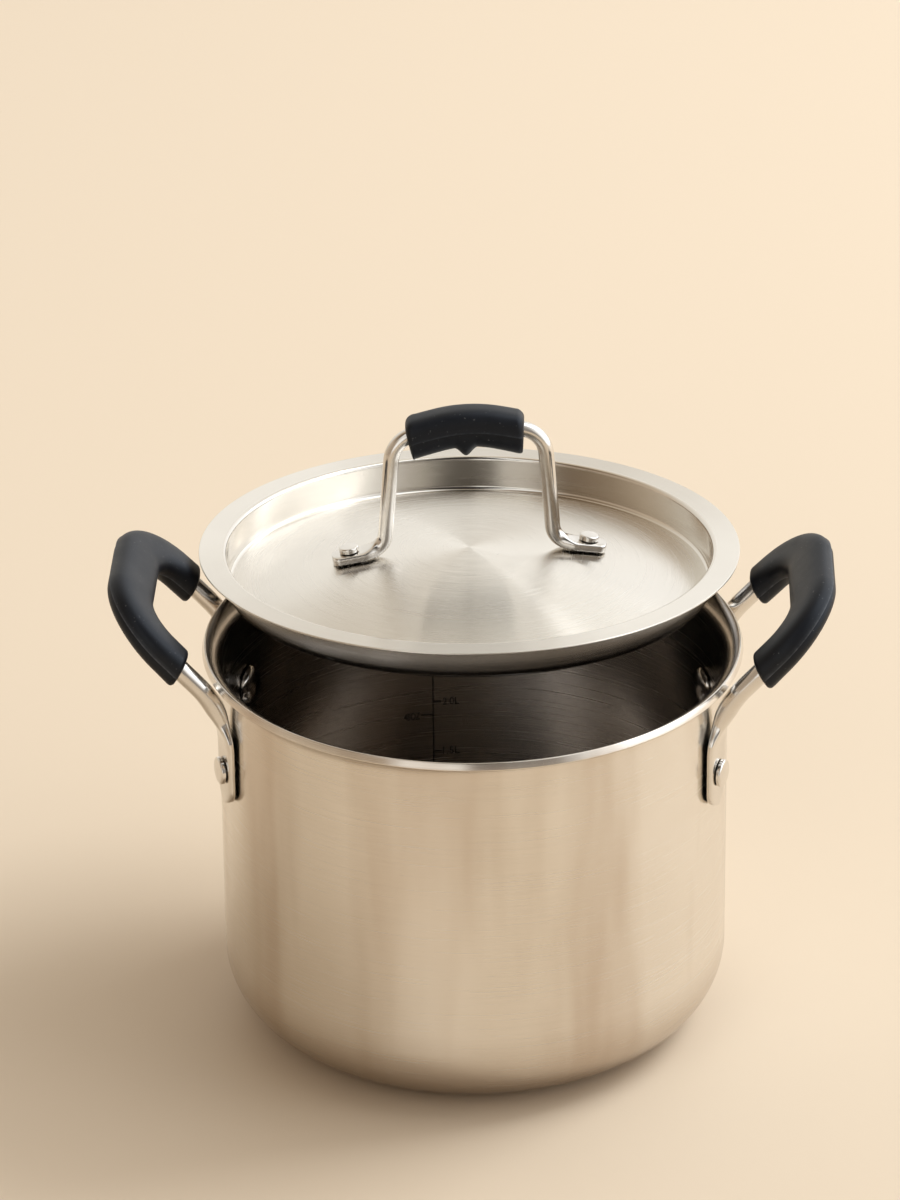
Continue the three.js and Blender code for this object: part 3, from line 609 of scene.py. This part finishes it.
# section with a ledge: the top is a superellipse down to a small bead at the ledge, which fades as
# exp(-(height / beadHeight)^2), and the underside is a narrower superellipse below it
def ledgeRows(halfWidth, top, bottom, drop, v):
    over, under, half = 2 / v["power"], 2 / v["underPower"], v["sides"] // 2
    low = np.r_[0, np.arcsin(np.array(ledge["rows"]) ** (v["power"] / 2))]
    upper = np.r_[low, np.linspace(low[-1], np.pi - low[-1], half)[1:-1], np.pi - low[::-1]]
    lower = np.linspace(np.pi, 2 * np.pi, half)
    w, t, b = (np.asarray(x, float)[:, None] for x in (halfWidth, top, bottom))
    drop = np.broadcast_to(np.asarray(drop, float), (len(w),))[:, None]
    c, s = np.cos(upper), np.sin(upper)
    upTop = np.abs(s) ** over * (t + drop) - drop
    bead = ledge["bead"] * np.exp(-((upTop + drop) / ledge["beadHeight"]) ** 2)
    acrossTop = np.sign(c) * (np.abs(c) ** over * w + bead)
    c, s = np.cos(lower), np.sin(lower)
    acrossLow = np.sign(c) * np.abs(c) ** under * (w - v["ledgeStep"])
    upLow = -np.abs(s) ** under * (b - drop - ledge["under"]) - drop - ledge["under"]
    # share of the pale line by column, partly wear and partly painted highlight
    wearAndGlint = np.r_[np.exp(-((upTop + drop).mean(0) / ledge["wearGlintHeight"]) ** 2), np.zeros(len(lower))]
    return np.concatenate([acrossTop, acrossLow], 1), np.concatenate([upTop, upLow], 1), wearAndGlint


# one value per vertex from one per column of the rings
def markWearGlint(piece, wearAndGlint):
    rows = len(piece.data.vertices) // len(wearAndGlint)
    marks = piece.data.attributes.new("wearAndGlint", "FLOAT", "POINT").data
    marks.foreach_set("value", np.tile(wearAndGlint, rows).astype(np.float32))


# rounded end: distances start + radius (1 - cos a) and insets radius (1 - sin a), a from 0 to 90 degrees
def endRows(start, radius, steps):
    a = np.linspace(0, np.pi / 2, steps)
    return start + radius * (1 - np.cos(a)), radius * (1 - np.sin(a))


# ledge sections carried along the handle's line from the knee on, blended from leg to bar by a cubic step
def makeGrip(v, name, node, turn):
    path = handlePath(sideHandle)
    ends = path[1]  # the knee starts at 3, the loop's corner starts at 5 and ends at 6
    start, total = ends[3] + v["pastKnee"], ends[-1]
    slim, full = ends[5] - v["swellLead"], ends[6] - v["swellShort"]
    near, inset = endRows(start, v["edgeRound"], v["endSteps"])
    far = np.linspace(near[-1], total, int((total - near[-1]) / v["spacing"]))[1:]
    d, inset = np.r_[near, far], np.r_[inset, np.zeros(len(far))]
    t = smooth((d - slim) / (full - slim))
    rake = v["rake"] * np.clip(1 - (d - start) / v["rakeLength"], 0, None)
    across, up, wearAndGlint = ledgeRows(mix(v["legWidth"], v["barWidth"], t) / 2 - inset,
                                mix(v["legTop"], v["barTop"], t) - inset,
                                mix(v["legBottom"], v["barBottom"], t) - inset, v["ledgeDrop"], v)
    bore = np.full(len(d), sideHandle["rod"] / 2 + v["clearance"])
    acrossBore, upBore = superRows(bore, bore, bore, np.full(len(d), roundPower), across.shape[1])
    top = np.array([-np.sqrt(0.5), 0, np.sqrt(0.5)])  # up and towards the pot
    outer, along = mirrorRings(carrySection(path, d, top, across, up, rake), d)
    inner, _ = mirrorRings(carrySection(path, d, top, acrossBore, upBore, rake), d)
    piece = addPiece(name, [sleeve(outer, inner, along)], turnZ(turn), "pot", [gripRubber],
                     v["sharp"])
    markWearGlint(piece, wearAndGlint)
    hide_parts(node)


for sideName, turn in (("right", 0), ("left", 180)):
    makeGrip(sideGrip, sideName + "_sleeve", sideName + "_grip", turn)
print("side grips made")


# Rivets: low head outside, shank and wide domed head inside
potRivet = {"shank": 5, "head": 9.7, "headHeight": 1.9, "inner": 14, "innerHeight": 2.8, "chamfer": 0.6,
            "crown": 0.25, "around": 72}
rivetForm = {"domeSteps": 22, "footEase": 0.15, "shoulderRound": 0.4, "shoulderSteps": 4, "edgeRound": 0.5,
             "edgeSteps": 5, "crownSteps": 8}


# profile of a rivet from inside to outside: an ellipse quarter, the shank, a chamfered head with round edges,
# and a crown that falls from the axis with the square of the radius
def rivetRow(v, outerSeat, innerSeat):
    form, head, shank = rivetForm, v["head"] / 2, v["shank"] / 2
    a = rad(np.linspace(-90, 0, form["domeSteps"]))
    dome = np.stack([v["inner"] / 2 * np.cos(a), innerSeat + v["innerHeight"] * np.sin(a)], 1)
    top = outerSeat + v["headHeight"]
    side, brow = [head, top - v["chamfer"]], [head - v["chamfer"], top - v["crown"]]
    shoulder = roundCorner([head, outerSeat], side, brow, form["shoulderRound"], form["shoulderSteps"])
    edge = roundCorner(side, brow, [0, top], form["edgeRound"], form["edgeSteps"])
    share = np.linspace(1, 0, form["crownSteps"])[1:, None]
    crown = np.concatenate([edge[-1, 0] * share, top - (top - edge[-1, 1]) * share ** 2], 1)
    foot = [[head - form["footEase"], outerSeat], [head, outerSeat + form["footEase"]]]
    return joinRows(dome, [[shank, innerSeat], [shank, outerSeat]], foot, shoulder, edge, crown)


# the wide heads sit in from the curved wall by its sagitta, r - sqrt(r^2 - head^2)
def makePotRivets(v, h):
    inner = potBody["radius"] - potBody["wall"]
    sagitta = inner - np.sqrt(inner ** 2 - (v["inner"] / 2) ** 2)
    profile = rivetRow(v, potBody["radius"] + h["tabThickness"] + 2 * h["gap"], inner - sagitta - h["gap"])
    for sideName, turn, nearer in (("right", 0, -1), ("left", 180, 1)):
        for place, side in (("front", nearer), ("rear", -nearer)):
            stand = turnZ(turn) @ standOn([0, 0, h["rivetHeight"]], rivetAxis(h, side))
            piece = addPiece("rivet_stud_" + sideName + "_" + place, [revolve(profile, v["around"])], stand,
                             "pot", [rivetSteel])
            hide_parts("rivet_" + sideName + "_" + place)


makePotRivets(potRivet, sideHandle)
print("pot rivets made")


# Lid: flat flange, bend, sunk wall, groove and domed floor; heights are from the top of the flange
lid = {"sheet": 0.7, "overhang": 1.2, "depth": 13.6, "domeRise": 12.5, "corner": 2.6, "bend": 0.8,
       "rimProud": 0.02, "setBack": 43.4, "sidestep": -2.1, "tilt": 3.4, "turn": 8.1, "gap": 0.3,
       "clearance": 0.5, "around": 320, "domeSteps": 60, "cornerSteps": 12, "wallSteps": 8,
       "bendSteps": (6, 12), "flangeSteps": (8, 10), "rimSteps": 10}


def lidSizes(v):  # radii of the skirt, the flange, the well's wall and the dome's edge
    skirt = potBody["radius"] - potBody["wall"] - v["clearance"]
    flange = potBody["radius"] + potBody["lipReach"] + v["overhang"]
    return skirt, flange, skirt - v["sheet"], skirt - v["corner"]


def domeHeight(v, r):  # parabola: floor of the groove + rise (1 - (r / dome's edge)^2)
    return v["sheet"] - v["depth"] + v["domeRise"] * (1 - (r / lidSizes(v)[3]) ** 2)


# the lid lies on the lip where the two circles cross
def lidPlace(v):
    bend = potBody["lipReach"] / (1 - np.cos(rad(potBody["lipSweep"])))
    lipTop = potBody["radius"] + bend - (bend + potBody["wall"]) * np.cos(rad(potBody["lipSweep"]))
    offset = np.hypot(v["setBack"], v["sidestep"])
    chord = (lipTop ** 2 - lidSizes(v)[3] ** 2 + offset ** 2) / (2 * offset)
    half = np.sqrt(lipTop ** 2 - chord ** 2)
    crossing = (chord * v["setBack"] + half * abs(v["sidestep"])) / offset
    drop = v["depth"] / np.cos(rad(v["tilt"])) + (crossing - v["setBack"]) * np.tan(rad(v["tilt"]))
    rise = potBody["height"] + v["gap"] + drop
    return shift(v["sidestep"], v["setBack"], rise) @ turnX(-v["tilt"]) @ turnZ(v["turn"])


# one revolved profile: under the dome, out along the skirt and flange, round the rim and back over the top
def makeLidShell(v):
    skirt, flange, well, dome = lidSizes(v)
    s, c, b = v["sheet"], v["corner"], v["bend"]
    cornerZ, rim = c - v["depth"], flange - (s / 2 - v["rimProud"])
    r = np.linspace(0, dome, v["domeSteps"])
    under = np.stack([r, domeHeight(v, r) - s], 1)
    top = np.stack([r, domeHeight(v, r)], 1)[::-1]
    profile = joinRows(
        under, arcRow(dome, cornerZ, c, -90, 0, v["cornerSteps"]),
        lineRow([skirt, cornerZ], [skirt, -s - b], v["wallSteps"]),
        arcRow(skirt + b, -s - b, b, 180, 90, v["bendSteps"][0]),
        lineRow([skirt + b, -s], [rim, -s], v["flangeSteps"][0]),
        arcRow(rim, -s / 2, s / 2, -90, 90, v["rimSteps"]),
        lineRow([rim, 0], [well + b + s, 0], v["flangeSteps"][1]),
        arcRow(well + b + s, -b - s, b + s, 90, 180, v["bendSteps"][1]),
        lineRow([well, -b - s], [well, cornerZ], v["wallSteps"]),
        arcRow(dome, cornerZ, c - s, 0, -90, v["cornerSteps"]), top)
    profile[0, 0] = profile[-1, 0] = 0
    domeSteel, wallSteel, flangeSteel, shadedSkirtSteel = range(len(lidSteels))
    reach = (profile[1:-2, 0] + profile[2:-1, 0]) / 2  # each row of quads has the steel of its own radius
    # the skirt takes the darker steel, which is painted shade
    wall = np.where(np.arange(len(reach)) < np.argmax(reach), shadedSkirtSteel, wallSteel)
    outward = np.where(reach < skirt + b, wall, flangeSteel)
    zones = np.repeat(np.where(reach < dome, domeSteel, outward), v["around"])
    piece = addPiece("lid_pressing", [revolve(profile, v["around"])], lidPlace(v), "lid",
                     lidSteels, zones=zones)
    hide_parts("lid_shell")


makeLidShell(lid)
print("lid shell made")


# Lid handle: bent rod with two flattened feet, built in the plane y = 0 of the lid
lidHandle = {"rod": 5.5, "tabWidth": 9.2, "tabThickness": 3.3, "tabPower": 4.5, "noseLength": 2.6,
             "nosePower": 2.4, "noseStart": 0.05, "noseSteps": 16, "taper": 7, "shoulder": 7,
             "beyondRivet": 6.4, "insideRivet": 4.6, "stepBend": 10, "rivetSpan": 84, "legSpanLow": 59.2,
             "legSpanHigh": 53.4, "height": 42, "archRise": 4.6, "footBend": 7, "topBend": 10.5,
             "archBend": 62, "sides": 48, "spacing": 0.6}
lidRivet = {"shank": 4, "head": 7, "headHeight": 2, "inner": 7, "innerHeight": 1.5, "chamfer": 0.4,
            "crown": 0.1, "around": 72}


# point and normal of the dome at a rivet: the slope is 2 rise r / edge^2
def lidSeat(v, side):
    r = v["rivetSpan"] / 2
    slope = np.arctan(2 * lid["domeRise"] * r / lidSizes(lid)[3] ** 2)
    return np.array([side * r, 0, domeHeight(lid, r)]), np.array([side * np.sin(slope), 0, np.cos(slope)])


# the rod's line: along one foot, a step up to the rod, the heel, the leg, the arch, and the mirror of these
def lidHandlePath(v):
    seat, axis = lidSeat(v, 1)
    outward = np.array([axis[2], 0, -axis[0]])
    rivet = seat + axis * (lid["gap"] + v["tabThickness"] / 2)
    inward = (v["rivetSpan"] - v["legSpanLow"]) / 2 / outward[0]
    heel = rivet - outward * inward + axis * (v["rod"] - v["tabThickness"]) / 2
    half = np.array([rivet + outward * v["beyondRivet"], rivet - outward * v["insideRivet"], heel,
                     [v["legSpanHigh"] / 2, 0, v["height"]]])
    other = (half * np.array([-1, 1, 1]))[::-1]
    corners = np.concatenate([half, [[0, 0, v["height"] + v["archRise"]]], other])
    bends = [v["stepBend"], v["footBend"], v["topBend"]]
    return bentPath(corners, bends + [v["archBend"]] + bends[::-1])


# superellipse rows carried from nose to nose
def makeLidHandle(v):
    path = lidHandlePath(v)
    total = path[1][-1]
    nose = noseRows(v)
    between = np.linspace(nose[-1], total - nose[-1], int(total / v["spacing"]))[1:-1]
    d = np.r_[nose, between, (total - nose)[::-1]]
    wide, half, power = tabRows(np.minimum(d, total - d), v["beyondRivet"] + v["insideRivet"], v)
    across, up = superRows(wide, half, half, power, v["sides"])
    rings = carrySection(path, d, lidSeat(v, 1)[1], across, up)
    piece = addPiece("lid_rod", [skin(rings, d)], lidPlace(lid), "lid", [rodSteel])
    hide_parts("lid_handle_bar")


# heads above the feet and below the sheet, square to the dome
def makeLidRivets(v, h):
    profile = rivetRow(v, h["tabThickness"] + 2 * lid["gap"], -lid["sheet"] - lid["gap"])
    for sideName, side in (("right", 1), ("left", -1)):
        stand = lidPlace(lid) @ standOn(*lidSeat(h, side))
        piece = addPiece("lid_stud_" + sideName, [revolve(profile, v["around"])], stand, "lid",
                         [rivetSteel])
        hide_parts("lid_rivet_" + sideName)


makeLidHandle(lidHandle)
makeLidRivets(lidRivet, lidHandle)
print("lid handle and rivets made")


# Lid grip: arched sleeve, flared and raked ends, a ledge low on both sides and a pointed nub underneath
lidGrip = {"length": 41.4, "slide": 1, "width": 13.3, "top": 6.1, "crown": 0.8, "bottom": 7.5, "flare": 1.5,
           "rake": 0.22, "skew": 0.13, "nub": 3.3, "nubHalf": 4.3, "power": 3.4, "underPower": 2.5,
           "ledgeDrop": (0.7, 1.4), "ledgeStep": 0.7, "wearGlintShare": 0.35, "edgeRound": 2.2, "endSteps": 7,
           "clearance": 0.3, "sharp": 50, "sides": 64, "spacing": 0.4}


# ledge sections carried along the arch: crown and flare go by the square of the distance from the middle,
# the nub is a cubic step
def makeLidGrip(v):
    path = lidHandlePath(lidHandle)
    middle, half = path[1][-1] / 2 + v["slide"], v["length"] / 2
    near, inset = endRows(-half, v["edgeRound"], v["endSteps"])
    between = np.linspace(near[-1], -near[-1], int(v["length"] / v["spacing"]))[1:-1]
    offset, inset = np.r_[near, between, -near[::-1]], np.r_[inset, np.zeros(len(between)), inset[::-1]]
    nub = v["nub"] * smooth(1 - np.abs(offset) / v["nubHalf"])
    outward = (offset / half) ** 2
    ones = np.ones(len(offset))
    drop = mix(v["ledgeDrop"][0], v["ledgeDrop"][1], outward)
    across, up, wearAndGlint = ledgeRows(v["width"] / 2 * ones - inset, v["top"] + v["crown"] * (1 - outward) - inset,
                                v["bottom"] + v["flare"] * outward + nub - inset, drop, v)
    bore = (lidHandle["rod"] / 2 + v["clearance"]) * ones
    acrossBore, upBore = superRows(bore, bore, bore, roundPower * ones, across.shape[1])
    rake = -v["rake"] * offset / half
    top = np.array([0, 0, 1.0])
    outer = carrySection(path, middle + offset, top, across, up, rake, v["skew"])
    inner = carrySection(path, middle + offset, top, acrossBore, upBore, rake, v["skew"])
    piece = addPiece("lid_sleeve", [sleeve(outer, inner, offset)], lidPlace(lid), "lid",
                     [gripRubber], v["sharp"])
    # the pale line of wear and painted highlight is fainter on the lid's grip
    markWearGlint(piece, v["wearGlintShare"] * wearAndGlint)
    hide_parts("lid_grip")


makeLidGrip(lidGrip)
print("lid grip made")


# Volume scale printed on the rear inner wall: a line, ticks and plain numbers, bent to the wall's curve
# each mark is its height, its tick's reach, and its word's width and letters
volumeScale = {"angle": 101.3, "bottom": 30, "top": 118, "line": 0.5, "tick": 0.45, "thickness": 0.1,
               "sink": 0.02, "rows": 6, "letter": 3.1, "capShare": 0.73, "bold": 0.02, "gap": 0.5,
               "marks": [(72.9, 3.0, 6.1, "2.0L"), (52.5, 3.0, 6.1, "1.5L"), (67.8, -4.5, 6.0, "48OZ")]}


# flat drawing bent to the wall: x is an arc length round it, y a height and z a distance in from the wall
def wallPoint(flat, v):
    r = potBody["radius"] - potBody["wall"] + v["sink"] - flat[:, 2]
    a = rad(v["angle"]) - flat[:, 0] / (potBody["radius"] - potBody["wall"])
    return np.stack([r * np.cos(a), r * np.sin(a), flat[:, 1]], 1)


# thin closed slab: the same four corners at each height
def flatBar(x0, x1, z0, z1, v):
    ring = np.array([[x0, 0, 0], [x1, 0, 0], [x1, 0, v["thickness"]], [x0, 0, v["thickness"]]])
    heights = np.linspace(z0, z1, v["rows"])
    return skin(np.stack([ring + [0, z, 0] for z in heights]), heights)


# letters as a flat mesh: the font's outline, made thick from z = 0 up
def textFlat(words, v):
    curve = bpy.data.curves.new("number", "FONT")
    curve.body = words
    curve.size = v["letter"] / v["capShare"]
    curve.extrude = v["thickness"] / 2
    curve.offset = v["bold"]
    holder = bpy.data.objects.new("number", curve)
    bpy.context.scene.collection.objects.link(holder)
    bpy.context.view_layer.update()
    mesh = bpy.data.meshes.new_from_object(holder)
    flat = np.zeros(len(mesh.vertices) * 3, np.float32)
    mesh.vertices.foreach_get("co", flat)
    faces = [list(p.vertices) for p in mesh.polygons]
    bpy.data.objects.remove(holder)
    bpy.data.curves.remove(curve)
    bpy.data.meshes.remove(mesh)
    flat = flat.reshape(-1, 3).astype(float)
    flat[:, 2] += v["thickness"] / 2
    return flat, faces


def makeVolumeScale(v):
    points, faces, start = [], [], 0
    bars = [(-v["line"] / 2, v["line"] / 2, v["bottom"], v["top"])]
    for z, reach, _, _ in v["marks"]:
        bars.append((min(0, reach), max(0, reach), z - v["tick"] / 2, z + v["tick"] / 2))
    for bar in bars:
        p, q, t, _, _, _ = gridArrays(flatBar(*bar, v))
        points.append(p)
        faces += (np.concatenate([q[:, :3], q[:, [0, 2, 3]], t]) + start)[:, ::-1].tolist()
        start += len(p)
    for z, reach, width, words in v["marks"]:  # each word is set to its own width
        flat, polygons = textFlat(words, v)
        flat[:, 0] *= width / (flat[:, 0].max() - flat[:, 0].min())
        left = reach + v["gap"] if reach > 0 else reach - v["gap"] - width
        flat[:, 0] += left - flat[:, 0].min()
        flat[:, 1] += z - v["letter"] / 2
        points.append(flat)
        faces += [[k + start for k in polygon] for polygon in polygons]
        start += len(flat)
    mesh = bpy.data.meshes.new("volume_scale")
    mesh.from_pydata((wallPoint(np.concatenate(points), v) * mm).tolist(), [], faces)
    mesh.materials.append(scaleInk)
    mesh.validate()
    piece = bpy.data.objects.new("volume_scale", mesh)
    bpy.context.scene.collection.objects.link(piece)
    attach(piece, "pot")


makeVolumeScale(volumeScale)
print("volume scale made")


# Floor, surround, key light and camera, in metres
stage = {"floor": 12.0, "pale": (0.73, 0.595, 0.445), "rough": 0.55, "gloss": 0.25}


def makeFloor(v):
    h = v["floor"] / 2
    mesh = bpy.data.meshes.new("floor")
    mesh.from_pydata([(-h, -h, 0), (h, -h, 0), (h, h, 0), (-h, h, 0)], [], [(0, 1, 2, 3)])
    material, _, shader = newMaterial("pale_floor")
    shader.inputs["Base Color"].default_value = (*v["pale"], 1)
    shader.inputs["Roughness"].default_value = v["rough"]
    shader.inputs["Specular IOR Level"].default_value = v["gloss"]
    mesh.materials.append(material)
    floor = bpy.data.objects.new("floor", mesh)
    bpy.context.scene.collection.objects.link(floor)


# soft surround: bands of light by compass angle, 0 towards the camera and positive to the right, one row of
# bands near the horizon and one higher up, then an even ceiling; the ranges are heights on a unit sphere
surround = {"strength": 0.95, "ceiling": (0.4, 0.34, 0.27), "highRange": (0.42, 0.7),
            "ceilingRange": (0.985, 1.0),
            "low": [(-180, (1.15, 1.12, 1.06)), (-140, (0.95, 0.92, 0.85)), (-105, (0.7, 0.58, 0.45)),
                    (-60, (0.5, 0.4, 0.3)), (-34, (0.5, 0.4, 0.3)), (-27, (1.25, 1.23, 1.18)),
                    (-4, (1.25, 1.23, 1.18)), (2, (0.3, 0.27, 0.24)), (36, (0.34, 0.31, 0.28)),
                    (50, (1.15, 1.14, 1.12)), (70, (1.9, 1.95, 2.0)), (115, (1.9, 1.95, 2.0)),
                    (140, (1.5, 1.52, 1.54)), (180, (1.15, 1.12, 1.06))],
            "high": [(-180, (0.95, 0.9, 0.8)), (-130, (0.75, 0.65, 0.52)), (-90, (0.28, 0.2, 0.13)),
                     (-60, (0.16, 0.11, 0.07)), (-52, (0.3, 0.26, 0.22)), (-44, (1.1, 1.1, 1.08)),
                     (-21, (1.1, 1.1, 1.08)), (-16, (0.03, 0.026, 0.024)), (23, (0.03, 0.026, 0.024)),
                     (28, (0.45, 0.42, 0.36)), (45, (0.5, 0.47, 0.42)), (62, (0.95, 0.97, 1.0)),
                     (80, (2.0, 2.05, 2.1)), (112, (2.0, 2.05, 2.1)), (135, (0.95, 0.92, 0.85)),
                     (180, (0.95, 0.9, 0.8))]}


def bandRamp(tree, turn, bands):  # colour ramp over the whole turn, with a stop at each band's angle
    ramp = tree.nodes.new("ShaderNodeValToRGB")
    tree.links.new(turn, ramp.inputs["Fac"])
    stops = ramp.color_ramp.elements
    for k, (degrees, colour) in enumerate(bands):
        share = (degrees + 180) / 360
        stop = stops[0] if k == 0 else stops[-1] if k == len(bands) - 1 else stops.new(share)
        stop.position = share
        stop.color = (*colour, 1)
    return ramp.outputs["Color"]


def makeSurround(v):
    world = bpy.data.worlds.new("surround")
    bpy.context.scene.world = world
    world.use_nodes = True
    tree = world.node_tree
    axes = tree.nodes.new("ShaderNodeSeparateXYZ")
    tree.links.new(tree.nodes.new("ShaderNodeTexCoord").outputs["Generated"], axes.inputs[0])
    flip = tree.nodes.new("ShaderNodeMath")
    flip.operation = "MULTIPLY"
    flip.inputs[1].default_value = -1
    tree.links.new(axes.outputs["Y"], flip.inputs[0])
    angle = tree.nodes.new("ShaderNodeMath")
    angle.operation = "ARCTAN2"
    tree.links.new(axes.outputs["X"], angle.inputs[0])
    tree.links.new(flip.outputs[0], angle.inputs[1])
    turn = remap(tree, angle.outputs[0], (-np.pi, np.pi))
    upper, whole = tree.nodes.new("ShaderNodeMix"), tree.nodes.new("ShaderNodeMix")
    upper.data_type = whole.data_type = "RGBA"
    tree.links.new(remap(tree, axes.outputs["Z"], v["highRange"]), upper.inputs["Factor"])
    tree.links.new(bandRamp(tree, turn, v["low"]), upper.inputs["A"])
    tree.links.new(bandRamp(tree, turn, v["high"]), upper.inputs["B"])
    tree.links.new(remap(tree, axes.outputs["Z"], v["ceilingRange"]), whole.inputs["Factor"])
    tree.links.new(upper.outputs["Result"], whole.inputs["A"])
    whole.inputs["B"].default_value = (*v["ceiling"], 1)
    background = tree.nodes["Background"]
    background.inputs["Strength"].default_value = v["strength"]
    tree.links.new(whole.outputs["Result"], background.inputs["Color"])


def aim(thing, place, target):  # stands a thing at a place, with its -Z towards the target and its X level
    forward = unit(np.array(target, float) - place)
    right = unit(np.cross(forward, [0, 0, 1.0]))
    up = np.cross(right, forward)
    thing.matrix_world = Matrix([[*row] for row in np.c_[np.c_[right, up, -forward], place]] + [[0, 0, 0, 1]])


# key: one soft light from the right and behind; the larger, weaker panel there shows only in gloss
keyLight = {"place": (2.0, 1.15, 2.15), "target": (0, 0, 0.08), "size": (1.5, 1.5), "power": 68,
            "colour": (0.86, 0.93, 1)}
glossPanel = {"place": (2.0, 1.15, 2.15), "target": (0, 0, 0.08), "size": (2.2, 2.2), "power": 28,
              "colour": (0.94, 0.97, 1)}


def makeLight(name, v, inGloss):
    data = bpy.data.lights.new(name, "AREA")
    data.shape = "RECTANGLE"
    data.size, data.size_y = v["size"]
    data.energy = v["power"]
    data.color = v["colour"]
    light = bpy.data.objects.new(name, data)
    bpy.context.scene.collection.objects.link(light)
    light.visible_glossy, light.visible_diffuse = inGloss, not inGloss
    aim(light, np.array(v["place"]), v["target"])


# camera from the measured view: distance and rise are from a point above the floor's middle, around turns it
# about the pot, and pitch, yaw and roll are the view's own
camera = {"distance": 2.0, "above": 0.06, "rise": 28.845, "pitch": 26.358, "yaw": -0.252, "roll": -0.573,
          "around": 1.59, "lens": 169.44, "sensor": 36, "clip": 100}


def makeCamera(v):
    data = bpy.data.cameras.new("camera")
    data.sensor_fit = "VERTICAL"
    data.sensor_height = v["sensor"]
    data.lens = v["lens"]
    data.clip_end = v["clip"]
    view = bpy.data.objects.new("camera", data)
    bpy.context.scene.collection.objects.link(view)
    y, p, r, rise = rad(v["yaw"]), rad(v["pitch"]), rad(v["roll"]), rad(v["rise"])
    forward = np.array([np.sin(y) * np.cos(p), np.cos(y) * np.cos(p), -np.sin(p)])
    right = unit(np.cross(forward, [0, 0, 1.0]))
    up = np.cross(right, forward)
    across, upright = right * np.cos(r) + up * np.sin(r), up * np.cos(r) - right * np.sin(r)
    place = v["distance"] * np.array([0, -np.cos(rise), np.sin(rise)]) + [0, 0, v["above"]]
    stand = np.eye(4)
    stand[:3] = np.c_[across, upright, -forward, place]
    view.matrix_world = Matrix((turnZ(v["around"]) @ stand).tolist())
    bpy.context.scene.camera = view


makeFloor(stage)
makeSurround(surround)
makeLight("key", keyLight, False)
makeLight("gloss_panel", glossPanel, True)
makeCamera(camera)
bpy.context.scene.view_settings.view_transform = "Standard"
print("stage, light and camera made")
